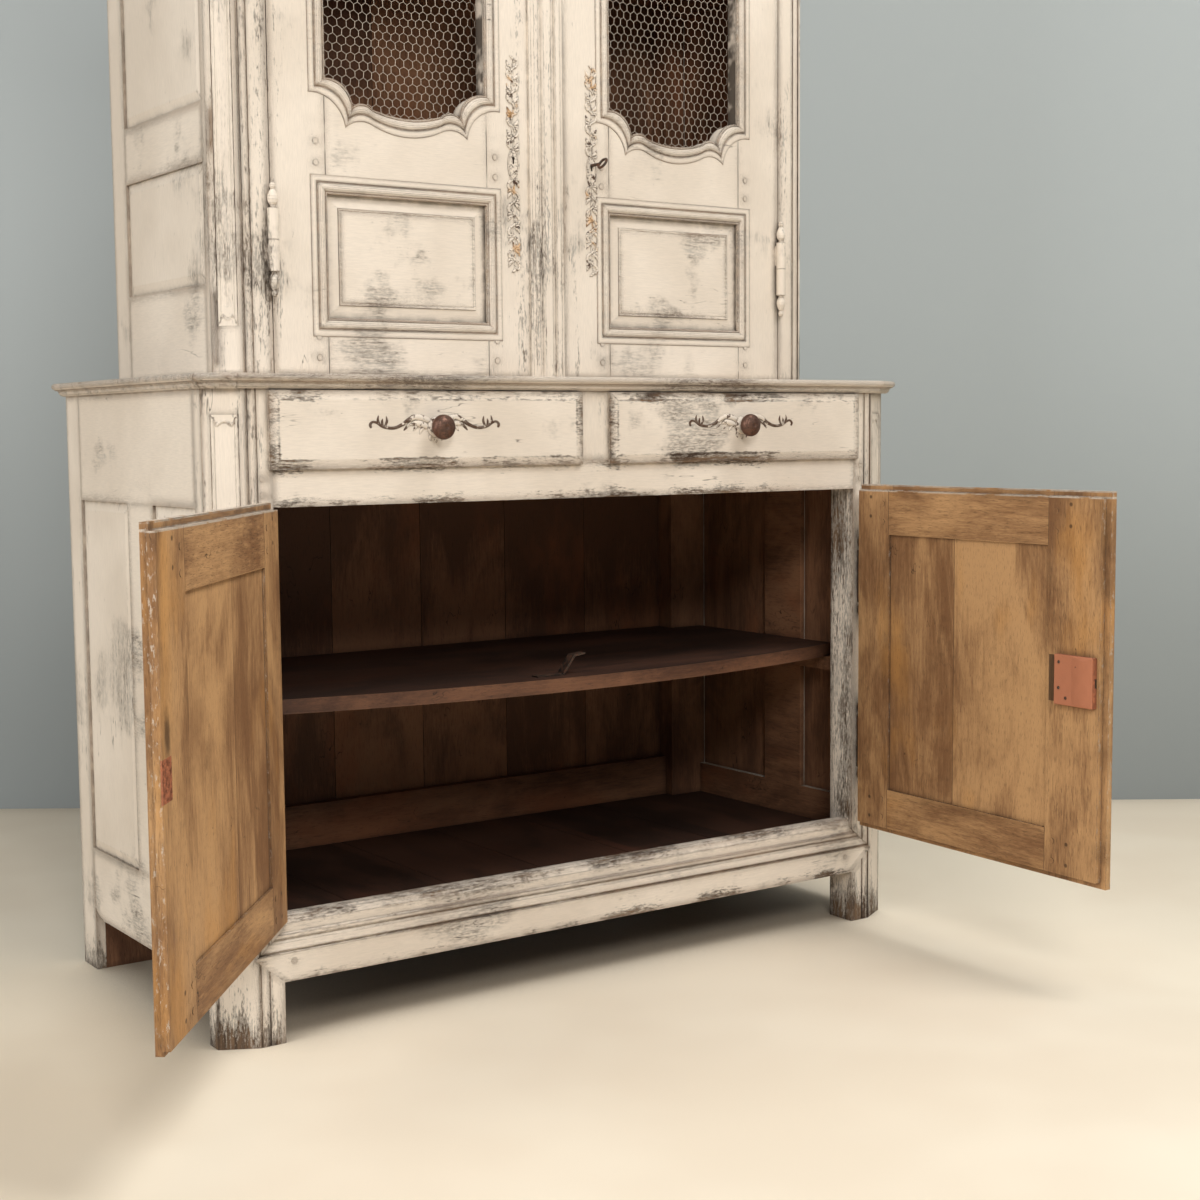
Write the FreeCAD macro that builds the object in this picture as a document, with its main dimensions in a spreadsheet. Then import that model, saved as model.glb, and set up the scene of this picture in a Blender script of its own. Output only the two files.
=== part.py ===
import FreeCAD, Part
import Sketcher
import math
import os

# A painted two-part cupboard: a lower body with two doors and two drawers, and a
# set-back upper body with two wire-mesh doors.  X runs to the right, the front faces -Y,
# Z is up, and the origin is on the floor under the middle of the lower body.
# The lower doors stand open, as the cupboard is shown; all lengths are in millimetres.

SIZES = {
    # lower body
    "base_width": 1322.0,
    "base_depth": 595.0,
    "foot_clear": 92.0,
    "sill_height": 98.0,
    "sill_thick": 33.0,
    "sill_relief": 5.0,
    "shoulder_rise": 40.0,
    "shoulder_reach": 46.0,
    "door_opening_height": 603.0,
    "apron_height": 60.0,
    "rail_thick": 28.0,
    "drawer_opening_height": 111.0,
    "divider_width": 66.0,
    "post_width": 95.0,
    "post_depth": 59.0,
    "cant_width": 55.0,
    "cant_depth": 30.0,
    "cant_recess": 2.5,
    "cant_panel_low": 190.0,
    "cant_panel_top_gap": 36.0,
    "bead_width": 14.0,
    "groove_width": 3.0,
    "groove_depth": 2.0,
    "rear_post_width": 100.0,
    "rear_post_depth": 60.0,
    "side_thick": 26.0,
    "side_bottom_rail": 118.0,
    "side_muntin_width": 105.0,
    "side_muntin_forward": 22.0,
    "foot_bracket_rise": 16.0,
    "foot_bracket_run": 60.0,
    "tenon_length": 30.0,
    "side_tenon_length": 20.0,
    "tenon_thick": 9.0,
    "tenon_shoulder": 12.0,
    "tongue": 8.0,
    "panel_slab": 9.0,
    "panel_rise": 4.0,
    "panel_bevel": 16.0,
    "panel_setback": 5.0,
    "peg_radius": 4.5,
    "peg_proud": 0.8,
    "peg_depth": 24.0,
    "peg_inset": 16.0,
    # back, floor and shelf
    "back_rail_height": 78.0,
    "back_top_rail_height": 140.0,
    "back_rail_thick": 20.0,
    "back_board_thick": 14.0,
    "back_board_inset": 4.0,
    "floor_top": 150.0,
    "floor_thick": 20.0,
    "board_gap": 1.5,
    "cleat": 25.0,
    "shelf_under": 475.0,
    "shelf_thick": 23.0,
    "shelf_end_setback": 130.0,
    "shelf_mid_setback": 30.0,
    "fit_gap": 0.3,
    # top board
    "top_board_thick": 22.0,
    "top_board_overhang": 18.0,
    "top_board_rear": 18.0,
    "top_board_step": 8.0,
    "top_board_lip": 10.0,
    # drawers
    "drawer_clear": 1.5,
    "drawer_lap": 6.0,
    "drawer_lip": 6.0,
    "drawer_field_rise": 3.0,
    "drawer_field_bevel": 14.0,
    "drawer_front_thick": 16.0,
    "drawer_side_thick": 12.0,
    "drawer_bottom_thick": 8.0,
    "drawer_bottom_lift": 6.0,
    "drawer_wall_height": 92.0,
    "drawer_length": 440.0,
    "runner_thick": 20.0,
    "runner_lap": 25.0,
    "guide_height": 22.0,
    "guide_width": 24.0,
    "pull_width": 228.0,
    "pull_height": 34.0,
    "pull_thick": 2.0,
    "knob_radius": 19.0,
    "knob_height": 35.0,
    "knob_shank_radius": 4.5,
    # lower doors
    "lower_door_clear": 1.5,
    "lower_lip_thick": 10.7,
    "lower_door_thick": 11.0,
    "lower_lip_lap": 10.0,
    "lower_meeting_lap": 10.0,
    "lower_hinge_stile": 80.0,
    "lower_meeting_stile": 108.0,
    "lower_top_rail": 77.0,
    "lower_bottom_rail": 70.0,
    "lower_door_panel": 10.0,
    "lower_axis_out": 13.0,
    "left_door_open": 129.0,
    "right_door_open": 87.5,
    "lower_barrel_radius": 7.2,
    "lower_hinge_high": 635.0,
    "lower_hinge_low": 335.0,
    "lock_case_width": 77.0,
    "lock_case_height": 78.0,
    "lock_case_depth": 9.0,
    "lock_case_wall": 1.5,
    "lock_edge": 4.0,
    "lower_lock_height": 505.0,
    "lower_key_inset": 34.0,
    "key_drop": 16.0,
    "bolt_length": 60.0,
    "bolt_height": 14.0,
    "bolt_thick": 3.5,
    "keeper_width": 36.0,
    "keeper_height": 52.0,
    "keeper_thick": 2.0,
    # hinges
    "knuckle_length": 47.0,
    "finial_length": 38.0,
    "pin_radius": 3.2,
    "pin_clear": 0.3,
    "pin_length": 30.0,
    "leaf_thick": 2.0,
    "leaf_depth": 20.0,
    "leaf_height": 36.0,
    "leaf_offset": 5.0,
    # upper body
    "upper_width": 1166.0,
    "upper_depth": 425.0,
    "upper_setback": 130.0,
    "upper_post_width": 83.5,
    "upper_post_depth": 52.0,
    "upper_cant_width": 36.0,
    "upper_cant_depth": 36.0,
    "upper_cant_panel_low": 74.0,
    "upper_bead_width": 13.0,
    "upper_rear_post_width": 60.0,
    "upper_rear_post_depth": 60.0,
    "upper_side_bottom_rail": 139.0,
    "upper_side_mid_rail": 90.0,
    "upper_side_low_panel": 180.0,
    "upper_side_top_rail": 110.0,
    "upper_body_height": 1188.0,
    "upper_floor_thick": 20.0,
    "upper_shelf_thick": 20.0,
    "upper_shelf_low": 1322.0,
    "upper_shelf_high": 1730.0,
    "upper_shelf_setback": 12.0,
    "roof_thick": 18.0,
    "cornice_height": 92.0,
    "cornice_reach": 74.0,
    "cornice_drop": 26.0,
    "cornice_frame": 40.0,
    # upper doors
    "upper_door_thick": 28.0,
    "upper_door_gap": 1.5,
    "upper_door_lift": 3.0,
    "upper_door_height": 1086.0,
    "upper_meeting_offset": 30.0,
    "upper_meeting_gap": 2.8,
    "upper_hinge_stile": 92.0,
    "upper_left_meeting_stile": 146.0,
    "upper_right_meeting_stile": 93.0,
    "upper_bottom_rail": 85.0,
    "upper_panel_height": 192.0,
    "upper_middle_rail": 120.0,
    "upper_top_rail": 93.0,
    "serpentine_rise": 50.0,
    "upper_field_bevel": 22.0,
    "upper_barrel_radius": 8.5,
    "upper_hinge_low": 1189.0,
    "upper_hinge_high": 1870.0,
    "mesh_thick": 1.2,
    "mesh_cell": 27.0,
    "mesh_wire": 1.6,
    "mesh_lap": 12.0,
    "batten_width": 66.0,
    "batten_thick": 9.0,
    "escutcheon_length": 345.0,
    "escutcheon_width": 26.0,
    "escutcheon_thick": 2.0,
    "escutcheon_high": 1333.0,
    "key_rise": 10.0,
    "escutcheon_from_edge": 57.0,
    "batten_escutcheon_gap": 29.6,
    "upper_case_depth": 16.0,
    "upper_case_width": 74.0,
    "upper_case_height": 70.0,
    "key_radius": 2.6,
    "key_hole_radius": 3.4,
    "key_out": 22.0,
    "key_bow_radius": 9.0,
    "key_bow_wire": 2.2,
    "key_bit": 9.0,
    # the bent strip on the lower shelf
    "catch_width": 18.0,
    "catch_thick": 2.5,
    "catch_foot": 52.0,
    "catch_rise": 30.0,
    "catch_lean": 22.0,
    "catch_tip": 20.0,
    "catch_left": 75.0,
    "catch_back": 60.0,
}

BACK_BOARDS = 6
FLOOR_BOARDS = 6
UPPER_BACK_BOARDS = 5

# Outlines as shares of the sizes that they follow, chosen by hand.
SILL_PROFILE_SHARES = (
    (0, 0), (0, 0.44), (0.7, 0.46), (0.1, 0.49), (0.5, 0.6), (1.0, 0.64), (0.5, 0.67),
    (0.5, 0.72), (1.1, 0.75), (1.2, 0.88), (2.2, 0.97), (3.4, 1),
)
FINIAL_SHARES = (
    (0.5, 0.02), (0.5, 0.1), (0.8, 0.2), (0.95, 0.33), (0.92, 0.46), (0.66, 0.62), (0.36, 0.74),
    (0.52, 0.81), (0.55, 0.89), (0.36, 0.97), (0.14, 1), (0, 1),
)
KNOB_SHARES = (
    (0.45, 0), (0.45, 0.08), (0.3, 0.14), (0.32, 0.34), (0.45, 0.47), (0.78, 0.54), (0.95, 0.61),
    (1, 0.7), (0.95, 0.8), (0.8, 0.89), (0.56, 0.96), (0.34, 0.985), (0.2, 0.96), (0, 0.95),
)
SERPENTINE_SHARES = (
    (0, 1), ("arc", 0.118, 0.78), (0.166, 0.2), ("arc", 0.215, 0.33), (0.285, 0.2),
    ("arc", 0.5, 0),
)
CORNICE_SHARES = (
    (0, 0), (0.16, 0), (0.16, 0.09), (0.24, 0.12), (0.3, 0.2), (0.42, 0.3), (0.62, 0.37),
    (0.62, 0.42), (0.7, 0.42), (0.7, 0.56), (0.76, 0.66), (0.9, 0.78), (0.96, 0.9), (1, 0.93), (1, 1),
)
BATTEN_SHARES = (
    (0, 0), (0, 0.5), (0.07, 0.5), (0.12, 0.9), (0.24, 0.9), (0.28, 0.5), (0.34, 0.5),
    (0.4, 1), (0.6, 1), (0.66, 0.5), (0.72, 0.5), (0.76, 0.9), (0.88, 0.9), (0.93, 0.5), (1, 0.5), (1, 0),
)
CANT_PANEL_SHARES = (0.15, 0.8)
PULL_DISC_SHARES = ((0, 0.5), (0.1, 0.42), (0.2, 0.34), (0.3, 0.22), (0.4, 0.3), (0.475, 0.22))
ESCUTCHEON_DISC_SHARES = (
    (0, 0.5), (0.07, 0.4), (0.14, 0.46), (0.21, 0.4), (0.28, 0.46), (0.35, 0.36), (0.42, 0.42), (0.475, 0.3),
)

DOC = FreeCAD.newDocument("painted_cupboard")
NODES = {}
LEFT = -1
RIGHT = 1
SIDES = {"left": LEFT, "right": RIGHT}
OPPOSITE_ENDS = (LEFT, RIGHT)


class Size:
    """A length that remembers the formula that gives it, so that objects can be bound to it."""

    def __init__(self, value, text):
        self.value = value
        self.text = text

    def combine(self, sign, other, value):
        return Size(value, f"({self.text} {sign} {other.text})")

    def __add__(self, other):
        other = size(other)
        return self.combine("+", other, self.value + other.value)

    def __sub__(self, other):
        other = size(other)
        return self.combine("-", other, self.value - other.value)

    def __mul__(self, other):
        other = size(other)
        return self.combine("*", other, self.value * other.value)

    def __truediv__(self, other):
        other = size(other)
        return self.combine("/", other, self.value / other.value)

    def __neg__(self):
        return Size(-self.value, f"(-{self.text})")

    def __rmul__(self, other):
        return size(other) * self

    def __rsub__(self, other):
        return size(other) - self


def size(number):
    """A Size as it is, or a plain number as a Size."""
    if isinstance(number, Size):
        return number
    return Size(float(number), f"({float(number):.9f})")


def hypotenuse(one, other):
    return Size(math.hypot(one.value, other.value), f"sqrt({one.text} * {one.text} + {other.text} * {other.text})")


ZERO = size(0)


class SheetSizes:
    """Each alias of the sheet as a Size."""

    def __init__(self, cells):
        sheet = DOC.addObject("Spreadsheet::Sheet", "Sizes")
        for row, (alias, value) in enumerate(cells.items(), start=1):
            sheet.set(f"A{row}", alias)
            sheet.set(f"B{row}", str(value))
            sheet.setAlias(f"B{row}", alias)
        DOC.recompute()
        for alias in cells:
            setattr(self, alias, Size(float(getattr(sheet, alias)), f"Sizes.{alias}"))


S = SheetSizes(SIZES)


def along(low, high, share):
    """The place that lies a share of the way from one place to another."""
    return low + (high - low) * share


def mirrored(side, inner, outer):
    """The low and high X of something between two distances from the middle, on one side."""
    if side == LEFT:
        return (-outer, -inner)
    return (inner, outer)


def bind_base(thing, x, y, z):
    for axis, place in (("x", x), ("y", y), ("z", z)):
        thing.setExpression(f"Placement.Base.{axis}", size(place).text)


def box(name, x, y, z):
    """A block given by its low and high place along each axis."""
    block = DOC.addObject("Part::Box", name)
    for prop, (low, high) in (("Length", x), ("Width", y), ("Height", z)):
        block.setExpression(prop, (high - low).text)
    bind_base(block, x[0], y[0], z[0])
    return block


def group(name, shapes):
    compound = DOC.addObject("Part::Compound", name)
    compound.Links = shapes
    return compound


def join(name, shapes):
    fused = DOC.addObject("Part::MultiFuse", name)
    fused.Shapes = shapes
    return fused


def carve(name, base, tools):
    """The base less the tools."""
    cut = DOC.addObject("Part::Cut", name)
    cut.Base = base
    cut.Tool = tools[0] if len(tools) == 1 else group(name + "_tools", tools)
    return cut


def overlap(name, base, tool):
    common = DOC.addObject("Part::Common", name)
    common.Base = base
    common.Tool = tool
    return common


def keep(node, thing):
    """Make the object one of the sub-parts."""
    thing.Label = node
    NODES[node] = thing
    return thing


ABOUT_X = FreeCAD.Vector(1, 0, 0)
ABOUT_Y = FreeCAD.Vector(0, 1, 0)
ABOUT_Z = FreeCAD.Vector(0, 0, 1)
UPRIGHT = FreeCAD.Rotation(ABOUT_X, 90)
TO_FRONT = FreeCAD.Rotation(ABOUT_X, 90)
QUARTER_BACK = FreeCAD.Rotation(ABOUT_Z, -90)
PLANES = {"XY": "XY_Plane", "XZ": "XZ_Plane", "YZ": "YZ_Plane"}


def new_sketch(body, plane, offset):
    sketch = body.newObject("Sketcher::SketchObject", body.Name + "_outline")
    feature = [f for f in body.Origin.OriginFeatures if f.Role == PLANES[plane]][0]
    sketch.AttachmentSupport = [(feature, "")]
    sketch.MapMode = "FlatFace"
    # the XZ plane's normal points to -Y
    sketch.setExpression("AttachmentOffset.Base.z", (-offset if plane == "XZ" else offset).text)
    return sketch


def fix_point(sketch, shape, end, point):
    for kind, place in (("DistanceX", point[0]), ("DistanceY", point[1])):
        index = sketch.addConstraint(Sketcher.Constraint(kind, -1, 1, shape, end, place.value))
        sketch.setExpression(f"Constraints[{index}]", place.text)


def vector(point):
    return FreeCAD.Vector(point[-2].value, point[-1].value, 0)


def draw(sketch, points):
    """Draw a closed outline of (across, up) corners.  An ("arc", across, up) entry is a point
    that the arc between its two neighbours passes through."""
    points = [tuple(p if isinstance(p, str) else size(p) for p in point) for point in points]
    count = len(points)
    corners = [i for i in range(count) if len(points[i]) == 2]
    ends = []
    for order, here in enumerate(corners):
        there = corners[(order + 1) % len(corners)]
        start, end = points[here], points[there]
        passed = points[(here + 1) % count]
        if len(passed) == 3:
            arc = Part.Arc(vector(start), vector(passed), vector(end))
            shape = sketch.addGeometry(arc, False)
            turned_round = (sketch.Geometry[shape].StartPoint - vector(start)).Length > (vector(end) - vector(start)).Length / 2
            first = 2 if turned_round else 1
            on_arc = sketch.addGeometry(Part.Point(vector(passed)), True)
            fix_point(sketch, on_arc, 1, passed[1:])
            sketch.addConstraint(Sketcher.Constraint("PointOnObject", on_arc, 1, shape))
        else:
            shape = sketch.addGeometry(Part.LineSegment(vector(start), vector(end)), False)
            first = 1
        fix_point(sketch, shape, first, start)
        ends.append((shape, first, 3 - first))
    for order, (shape, first, last) in enumerate(ends):
        after, after_first, _ = ends[(order + 1) % len(ends)]
        sketch.addConstraint(Sketcher.Constraint("Coincident", shape, last, after, after_first))


def prism(name, plane, points, low, high):
    """A body padded from an outline on a plane, between two places along the plane's axis."""
    body = DOC.addObject("PartDesign::Body", name)
    return add_layer(body, plane, points, low, high)


def add_layer(body, plane, points, low, high):
    sketch = new_sketch(body, plane, size(low))
    draw(sketch, points)
    pad = body.newObject("PartDesign::Pad", body.Name + "_pad")
    pad.Profile = sketch
    pad.setExpression("Length", (high - low).text)
    pad.Reversed = plane == "XZ"
    return body


def turned(name, points):
    """A solid turned about its own Z axis from (radius, height) points."""
    sketch = DOC.addObject("Sketcher::SketchObject", name + "_outline")
    sketch.Placement.Rotation = UPRIGHT
    draw(sketch, points)
    turn = DOC.addObject("Part::Revolution", name)
    turn.Source = sketch
    turn.Axis = ABOUT_Z
    turn.Angle = 360
    turn.Solid = True
    return turn


def rod(name, radius, length, x, y, z, rotation=None):
    """A round rod from a place, standing up or along the rotated axis."""
    cylinder = DOC.addObject("Part::Cylinder", name)
    cylinder.setExpression("Radius", radius.text)
    cylinder.setExpression("Height", length.text)
    if rotation:
        cylinder.Placement.Rotation = rotation
    bind_base(cylinder, x, y, z)
    return cylinder


def frustum(name, wide, field, deep, up, bevel, sideways=False):
    """A block with its four edges sloped: full size at one face, less a bevel at the field.
    wide is the place of the full face and field that of the small one, along Y or, sideways,
    along X.  deep and up are the full face's (low, high) places."""
    wedge = DOC.addObject("Part::Wedge", name)
    across = (-deep[1], -deep[0]) if sideways else deep
    field_is_low = field.value < wide.value
    low_inset, high_inset = (bevel, ZERO) if field_is_low else (ZERO, bevel)
    places = {
        "Ymin": field if field_is_low else wide,
        "Ymax": wide if field_is_low else field,
        "Xmin": across[0] + low_inset,
        "Xmax": across[1] - low_inset,
        "Zmin": up[0] + low_inset,
        "Zmax": up[1] - low_inset,
        "X2min": across[0] + high_inset,
        "X2max": across[1] - high_inset,
        "Z2min": up[0] + high_inset,
        "Z2max": up[1] - high_inset,
    }
    for prop, place in places.items():
        setattr(wedge, prop, place.value)
        wedge.setExpression(prop, place.text)
    if sideways:
        wedge.Placement.Rotation = QUARTER_BACK
    return wedge


def tenoned(name, x, y, z, axis, length=S.tenon_length):
    """A rail with a tenon at each end, along X, Y or Z."""
    places = {"X": x, "Y": y, "Z": z}
    middle = {"X": (x[0] + x[1]) / 2, "Y": (y[0] + y[1]) / 2}
    low, high = places[axis]
    grown = (low - length, high + length)
    thin = "Y" if axis == "X" or (x[1] - x[0]).value > (y[1] - y[0]).value else "X"
    broad = [other for other in "XYZ" if other not in (axis, thin)][0]
    tenon = dict(places)
    tenon[axis] = grown
    tenon[thin] = (middle[thin] - S.tenon_thick / 2, middle[thin] + S.tenon_thick / 2)
    tenon[broad] = (places[broad][0] + S.tenon_shoulder, places[broad][1] - S.tenon_shoulder)
    return join(name, [box(name + "_body", x, y, z), box(name + "_tenon", tenon["X"], tenon["Y"], tenon["Z"])])


# Places along each axis, worked out from the sizes
front = -S.base_depth / 2
back = S.base_depth / 2
half_base = S.base_width / 2
opening_half = half_base - S.post_width
side_inner = half_base - S.side_thick
side_front = front + S.post_depth
side_back = back - S.rear_post_depth
rear_inner = half_base - S.rear_post_width
sill_top = S.foot_clear + S.sill_height
apron_bottom = sill_top + S.door_opening_height
apron_top = apron_bottom + S.apron_height
carcase_top = apron_top + S.drawer_opening_height
base_top = carcase_top + S.top_board_thick
back_board_rear = back - S.back_board_inset
back_board_front = back_board_rear - S.back_board_thick
back_rail_front = back_board_front - S.back_rail_thick

upper_front = front + S.upper_setback
upper_back = upper_front + S.upper_depth
half_upper = S.upper_width / 2
upper_opening_half = half_upper - S.upper_post_width
upper_side_inner = half_upper - S.side_thick
upper_side_front = upper_front + S.upper_post_depth
upper_side_back = upper_back - S.upper_rear_post_depth
upper_rear_inner = half_upper - S.upper_rear_post_width
upper_top = base_top + S.upper_body_height
upper_board_rear = upper_back - S.back_board_inset
upper_board_front = upper_board_rear - S.back_board_thick


def canted_post(name, side, inner, outer, y_front, y_back, cant_width, cant_depth, bead, low, high):
    """A corner post whose outer front corner is cut off, with a bead between two grooves."""
    cant = outer - cant_width
    groove = cant - bead
    plan = [
        (inner, y_front),
        (groove - S.groove_width, y_front),
        (groove - S.groove_width, y_front + S.groove_depth),
        (groove, y_front + S.groove_depth),
        (groove, y_front),
        (cant - S.groove_width, y_front),
        (cant - S.groove_width, y_front + S.groove_depth),
        (cant, y_front + S.groove_depth),
        (cant, y_front),
        (outer, y_front + cant_depth),
        (outer, y_back),
        (inner, y_back),
    ]
    return prism(name, "XY", [(side * x, y) for x, y in plan], low, high)


def sunk_panel(name, side, outer, y_front, cant_width, cant_depth, low, high):
    """The shallow panel cut into the canted face of a front post, as a cutting tool."""
    reach = hypotenuse(cant_width, cant_depth)
    into = (-S.cant_recess * cant_depth / reach, S.cant_recess * cant_width / reach)
    start, end = CANT_PANEL_SHARES
    plan = []
    for share, way in ((start, -1), (end, -1), (end, 1), (start, 1)):
        x = outer - cant_width + cant_width * share + into[0] * way
        y = y_front + cant_depth * share + into[1] * way
        plan.append((side * x, y))
    return prism(name, "XY", plan, low, high)


def peg(name, x, z, y=front):
    """An oak peg that stands a little proud of a front face."""
    return rod(name, S.peg_radius, S.peg_depth, x, y - S.peg_proud + S.peg_depth, z, TO_FRONT)


def make_base_frame():
    """The lower body's posts, front rails and side frames, with their tenons and pegs."""
    shoulder = [
        (opening_half, S.foot_clear),
        (opening_half + S.shoulder_reach, S.foot_clear + S.shoulder_rise),
        (opening_half, S.foot_clear + S.shoulder_rise * 2),
    ]
    outline = shoulder + [(opening_half, sill_top)]
    outline += [(-x, z) for x, z in reversed(outline)]
    sill_blank = prism("sill_blank", "XZ", outline, front, front + S.sill_thick)
    profile = [
        (front + S.sill_relief * deep, S.foot_clear + S.sill_height * high)
        for deep, high in SILL_PROFILE_SHARES
    ]
    profile += [(front + S.sill_thick, sill_top), (front + S.sill_thick, S.foot_clear)]
    sill_run = prism("sill_run", "YZ", profile, -half_base, half_base)
    sill = overlap("bottom_rail", sill_blank, sill_run)

    rail_y = (front, front + S.rail_thick)
    across = (-opening_half, opening_half)
    apron = tenoned("apron", across, rail_y, (apron_bottom, apron_top), "X")
    half_divider = S.divider_width / 2
    divider = box("divider", (-half_divider, half_divider), rail_y, (apron_top, carcase_top))
    keep("base_drawer_divider", divider)

    muntin_mid = (side_front + side_back) / 2 - S.side_muntin_forward
    muntin_y = (muntin_mid - S.side_muntin_width / 2, muntin_mid + S.side_muntin_width / 2)
    side_rail_top = S.foot_clear + S.side_bottom_rail
    rails = []
    panels = []
    posts = []
    rears = []
    pegs = []
    for word, side in SIDES.items():
        x = mirrored(side, side_inner, half_base)
        along_side = (side_front, side_back)
        top_rail = tenoned(word + "_top_rail", x, along_side, (apron_bottom, carcase_top), "Y", S.side_tenon_length)
        bracket = [
            (side_front, S.foot_clear),
            (side_back - S.foot_bracket_run, S.foot_clear),
            ("arc", side_back - S.foot_bracket_run * 0.35, S.foot_clear + S.foot_bracket_rise * 0.3),
            (side_back, S.foot_clear + S.foot_bracket_rise),
            (side_back, side_rail_top),
            (side_front, side_rail_top),
        ]
        low_rail_body = prism(word + "_low_rail_body", "YZ", bracket, x[0], x[1])
        middle = (x[0] + x[1]) / 2
        low_tenon = box(
            word + "_low_tenon",
            (middle - S.tenon_thick / 2, middle + S.tenon_thick / 2),
            (side_front - S.side_tenon_length, side_back + S.side_tenon_length),
            (S.foot_clear + S.foot_bracket_rise + S.tenon_shoulder, side_rail_top - S.tenon_shoulder),
        )
        low_rail = join(word + "_low_rail", [low_rail_body, low_tenon])
        muntin = tenoned(word + "_muntin", x, muntin_y, (side_rail_top, apron_bottom), "Z")
        side_panels = []
        for part, span in (("front", (side_front, muntin_y[0])), ("rear", (muntin_y[1], side_back))):
            panel = side_panel(f"{word}_{part}_panel", side, half_base, span, (side_rail_top, apron_bottom))
            side_panels.append(panel)
        rails.append(carve(word + "_top_rail_cut", top_rail, [muntin] + side_panels))
        rails.append(carve(word + "_low_rail_cut", low_rail, [muntin] + side_panels))
        rails.append(carve(word + "_muntin_cut", muntin, side_panels))
        panels += side_panels

        blank = canted_post(
            word + "_front_blank", side, opening_half, half_base, front, side_front,
            S.cant_width, S.cant_depth, S.bead_width, ZERO, carcase_top,
        )
        notch = prism(
            word + "_shoulder_notch", "XZ", [(side * across, up) for across, up in shoulder],
            front, front + S.sill_thick,
        )
        sunk = sunk_panel(word + "_sunk_panel", side, half_base, front, S.cant_width, S.cant_depth,
                          S.cant_panel_low, carcase_top - S.cant_panel_top_gap)
        post = carve(word + "_front_post", blank, [notch, apron, top_rail, low_rail, side_panels[0], sunk])
        posts.append(post)
        rear = box(word + "_rear_blank", mirrored(side, rear_inner, half_base), (side_back, back), (ZERO, carcase_top))
        rears.append(carve(word + "_rear_post", rear, [top_rail, low_rail, side_panels[1]]))
        peg_x = side * (opening_half - S.peg_inset)
        pegs.append(peg(word + "_sill_peg", peg_x, S.foot_clear + S.shoulder_rise * 0.75))
        post_x = side * (opening_half + S.peg_inset)
        for share in (0.3, 0.7):
            height = along(apron_bottom, apron_top, share)
            pegs.append(peg(f"{word}_apron_peg", post_x, height))
    keep("base_side_rails", group("side_rails", rails))
    keep("base_side_panels", group("side_panels", panels))
    keep("base_rear_posts", group("rear_posts", rears))
    return sill, apron, posts, pegs


def side_panel(name, side, face, span, up):
    """A fielded panel in a side frame, its tongue in the frame's grooves."""
    field = face - S.panel_setback + S.panel_rise
    slab_face = face - S.panel_setback
    slab = box(
        name + "_slab", mirrored(side, slab_face - S.panel_slab, slab_face),
        (span[0] - S.tongue, span[1] + S.tongue), (up[0] - S.tongue, up[1] + S.tongue),
    )
    raised = frustum(name + "_field", side * slab_face, side * field, span, up, S.panel_bevel, sideways=True)
    return join(name, [slab, raised])


def finish_base_frame(sill, apron, posts, pegs):
    """Cut the peg holes, and name the posts."""
    keep("base_pegs", group("pegs", pegs))
    keep("base_front_post_left", carve("left_post_pegged", posts[0], pegs))
    keep("base_front_post_right", carve("right_post_pegged", posts[1], pegs))
    keep("base_bottom_rail", carve("sill_pegged", sill, pegs))
    keep("base_apron_rail", carve("apron_pegged", apron, pegs))


def boards(name, count, x, y, z):
    """A row of boards side by side along X, with a small gap between them."""
    width = (x[1] - x[0]) / count
    row = []
    for order in range(count):
        low = x[0] + width * order
        left_gap = S.board_gap / 2 * int(order > 0)
        right_gap = S.board_gap / 2 * int(order < count - 1)
        row.append(box(f"{name}_{order + 1}", (low + left_gap, low + width - right_gap), y, z))
    return row


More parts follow.
